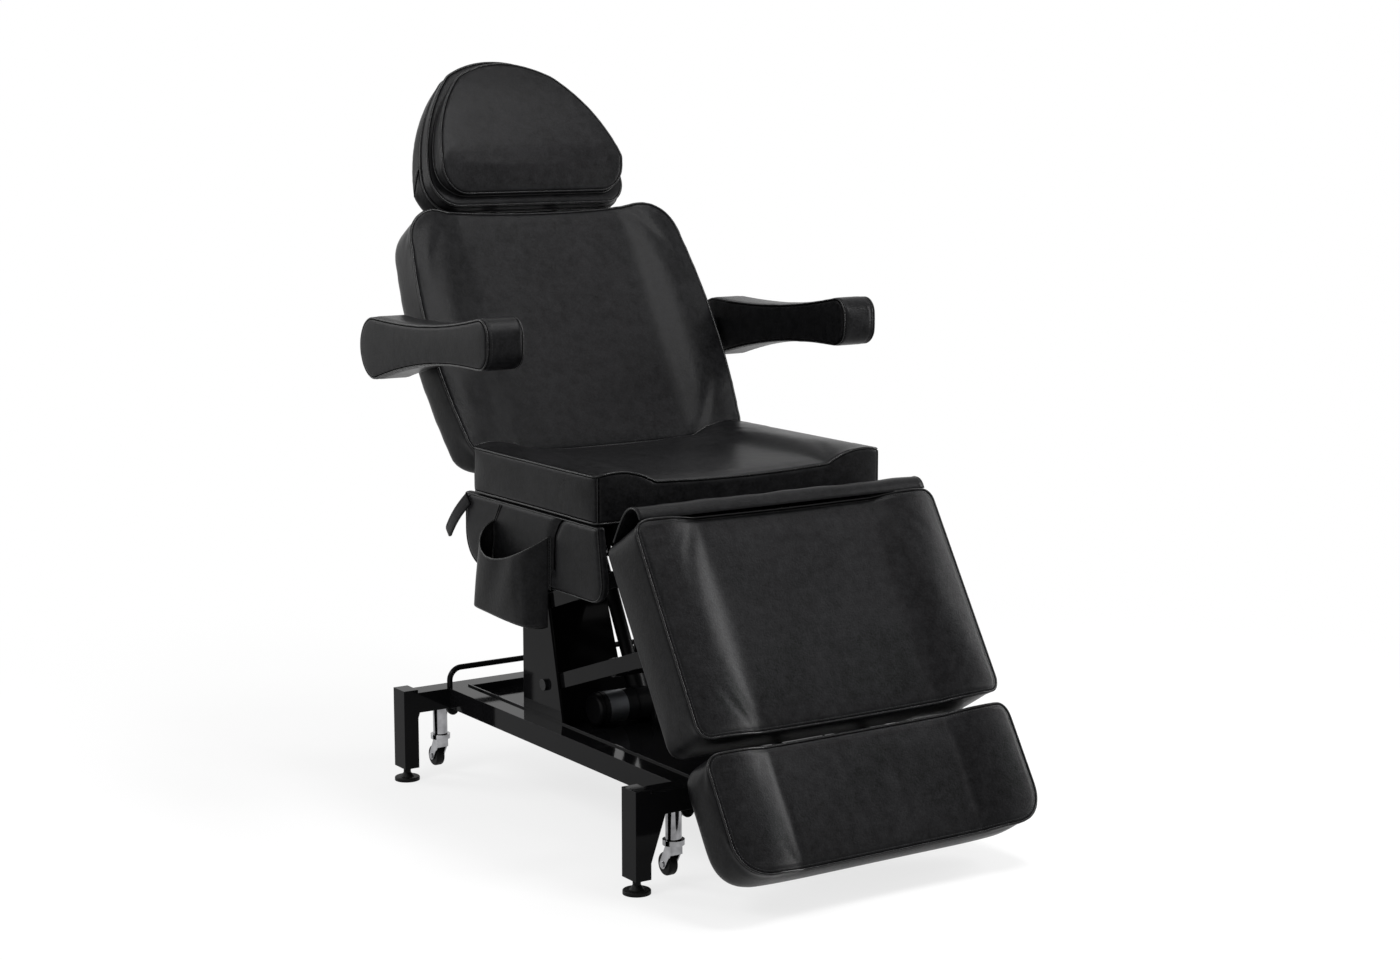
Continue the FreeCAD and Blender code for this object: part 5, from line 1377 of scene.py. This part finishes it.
    def strap(self):
        """The flat pull strap, a folded and stitched loop."""
        run, drop, width, thick = 0.077, 0.066, 0.024, 0.0045
        length = math.hypot(run, drop)
        along = np.array([0.0, run / length, -drop / length])
        across = np.array([0.0, drop / length, run / length])
        start = np.array([-0.3055, 0.300 + SHIFT, 0.571])
        count, round_end, rows = 30, 0.93, []
        for i in range(count + 1):
            t = i / count
            centre = start + along * (length + 0.006) * t
            centre = centre + np.array([-0.004 * math.sin(math.pi * t) - 0.001, 0, -0.006 * t * t])
            past = max(0.0, (t - round_end) / (1 - round_end))
            wide = width / 2 * math.sqrt(max(0.05, 1 - past ** 2 * 0.5))
            for x, s in ((-thick / 2, -1), (-thick / 2, 1), (thick / 2, 1), (thick / 2, -1)):
                rows.append(centre + np.array([x, 0, 0]) + across * wide * s)
        faces = [(0, 1, 2, 3), tuple(count * 4 + k for k in (3, 2, 1, 0))]
        faces += ring_faces(count + 1, 4, False)
        strap = mesh_of("strap", rows, faces, "vinyl")
        merged(strap.data, 1e-6, turned=True)
        with_modifier(strap, "BEVEL", width=0.0012, segments=3, limit_method="ANGLE")
        shade_smooth(strap)
        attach(strap, "seat")
        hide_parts("pull_strap")
        lines = [
            ([rows[i * 4] * (0.5 + s) + rows[i * 4 + 1] * (0.5 - s) + np.array([-0.0003, 0, 0])
              for i in range(1, count - 1)], False) for s in (-0.36, 0.36)
        ]
        stitches("strap_stitches", lines, "seat")


class CHAIR_OT_base(bpy.types.Operator):
    """Finish the base, the column, the feet and the casters"""

    bl_idname = "chair.base"
    bl_label = "Base and casters"

    def execute(self, context):
        paint_nodes("paint", "front_leg_frame", "rear_leg_frame", "base_rails", "base_tray",
                    "rear_loop_bar", "lift_column", "caster_clamps")
        paint_nodes("satin", "column_pivot_bolts")
        paint_nodes("chrome", "caster_stems")
        for end in ("front_", "rear_"):
            for _, hand in SIDES:
                paint_nodes("rubber", "levelling_foot_" + end + hand, "caster_wheel_" + end + hand)
                paint_nodes("chrome", "caster_fork_" + end + hand)
        return {"FINISHED"}


class CHAIR_OT_mechanism(bpy.types.Operator):
    """Finish the frames, the arms and the drives"""

    bl_idname = "chair.mechanism"
    bl_label = "Frames and drives"

    def execute(self, context):
        paint_nodes("paint", "lower_lift_frame", "upper_lift_links", "seat_frame", "back_frame",
                    "leg_frame", "right_armrest_bracket", "left_armrest_bracket")
        paint_nodes("housing", "lift_actuator", "lift_motor", "back_actuator", "leg_actuator")
        paint_nodes("steel", "lift_rod", "back_rod", "leg_rod")
        paint_nodes("chrome", "headrest_posts")
        paint_nodes("satin", "foot_slide_bars")
        paint_nodes("plastic", "control_box")
        self.band("motor_label", 0.022, 0.038, 0.0003, "label")
        self.band("motor_end_ridge", 0.0125, 0.0045, 0.0012, "housing")
        return {"FINISHED"}

    def band(self, name, start, width, proud, material):
        """A band around the lift motor, standing a little proud of it."""
        low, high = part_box("lift_motor")
        centre, radius = (low + high) / 2, (high.z - low.z) / 2
        sides, sunk, rows = 48, -0.0005, []
        for i in range(sides):
            turn = math.tau * i / sides
            for x, r in ((start, sunk), (start, proud), (start + width, proud), (start + width, sunk)):
                rows.append((low.x + x, centre.y + (radius + r) * math.cos(turn),
                             centre.z + (radius + r) * math.sin(turn)))
        band = mesh_of(name, rows, ring_faces(sides, 4, True), material)
        merged(band.data, 1e-6, turned=True)
        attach(band, "lift_drive")


class CHAIR_OT_handset(bpy.types.Operator):
    """Finish the handset, its keys and its holder"""

    bl_idname = "chair.handset"
    bl_label = "Handset"

    def execute(self, context):
        paint_nodes("plastic", "handset_shell", "handset_holder")
        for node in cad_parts:
            if node.startswith("key_"):
                paint_nodes("keys", node)
                self.marks(node)
        return {"FINISHED"}

    def marks(self, node):
        """A key's printed outline and its plain symbol."""
        low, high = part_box(node)
        places = [v.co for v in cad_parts[node].data.vertices]
        flat = [(p.y, p.z) for p in places if p.x > high.x - 0.0004]
        hull = [flat[i] for i in geometry.convex_hull_2d(flat)]
        ring = [(high.x, *p) for p in inset(refined(hull, True, 0.0006), 0.0012)]
        y, z = (low.y + high.y) / 2, (low.z + high.z) / 2

        def at(points, lift=0.00005):
            """Places on the key, given in millimetres from its middle."""
            return [(high.x + lift, y + a / 1000, z + b / 1000) for a, b in points]

        outline = along_line(node + "_ring", [(ring, True)], round_cord, "teal", Radius=0.00032)
        sign = 1 if node.endswith("up") else -1
        if "seat" in node:
            arrow = [(a, b * sign) for a, b in ((0, 5), (5.5, 0.5), (2.4, 0.5), (2.4, -4.5),
                                                (-2.4, -4.5), (-2.4, 0.5), (-5.5, 0.5))]
            count = len(arrow)
            faces = [tuple(range(count)), tuple(range(count, 2 * count))]
            faces += ring_faces(2, count, False)
            symbol = mesh_of(node + "_symbol", at(arrow) + at(arrow, 0.00025), faces, "pale")
            merged(symbol.data, 1e-6, turned=True)
        else:
            back = (-4.6, 3.6) if node == "key_back_up" else (-6.0, 1.6)
            leg = (5.8, 0.4) if node == "key_leg_up" else (3.6, -4.6)
            figure = [back, (-2.4, -1.6), (2.0, -1.6), leg]
            mid = (-5.2, 5.2) if "back" in node else (6.2, -2.6)
            bow = [(mid[0] + 2.34 * math.cos(t), mid[1] + sign * 1.1 * math.sin(t) - 0.6)
                   for t in np.linspace(0.3, 2.6, 10)]
            symbol = along_line(node + "_symbol", [(at(figure), False), (at(bow), False)],
                                round_cord, "pale", Radius=0.00048)
        for obj in (outline, symbol):
            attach(obj, node)


class CHAIR_PT_panel(bpy.types.Panel):
    """The chair's steps and settings"""

    bl_idname = "CHAIR_PT_panel"
    bl_label = "Tattoo Chair"
    bl_space_type = "VIEW_3D"
    bl_region_type = "UI"
    bl_category = "Tattoo Chair"

    def draw(self, context):
        column = self.layout.column()
        for group in (context.scene.chair_sizes, context.scene.chair_colours):
            for name in group.bl_rna.properties.keys():
                if name not in ("rna_type", "name"):
                    column.prop(group, name)
        for step in STEPS:
            column.operator(step.bl_idname)


STEPS = (
    CHAIR_OT_stage, CHAIR_OT_cord, CHAIR_OT_seat, CHAIR_OT_backrest, CHAIR_OT_headrest,
    CHAIR_OT_armrests, CHAIR_OT_leg_cushions, CHAIR_OT_flap, CHAIR_OT_side_panels, CHAIR_OT_base,
    CHAIR_OT_mechanism, CHAIR_OT_handset,
)
CLASSES = (ChairSizes, ChairColours) + STEPS + (CHAIR_PT_panel,)


def register():
    """Add the classes and the scene's settings."""
    for cls in CLASSES:
        bpy.utils.register_class(cls)
    bpy.types.Scene.chair_sizes = bpy.props.PointerProperty(type=ChairSizes)
    bpy.types.Scene.chair_colours = bpy.props.PointerProperty(type=ChairColours)


def unregister():
    """Take the classes and the scene's settings out."""
    del bpy.types.Scene.chair_colours
    del bpy.types.Scene.chair_sizes
    for cls in reversed(CLASSES):
        bpy.utils.unregister_class(cls)


def main():
    """Build the whole scene."""
    register()
    for step in STEPS:
        group, name = step.bl_idname.split(".")
        getattr(getattr(bpy.ops, group), name)()


if __name__ == "__main__":
    main()
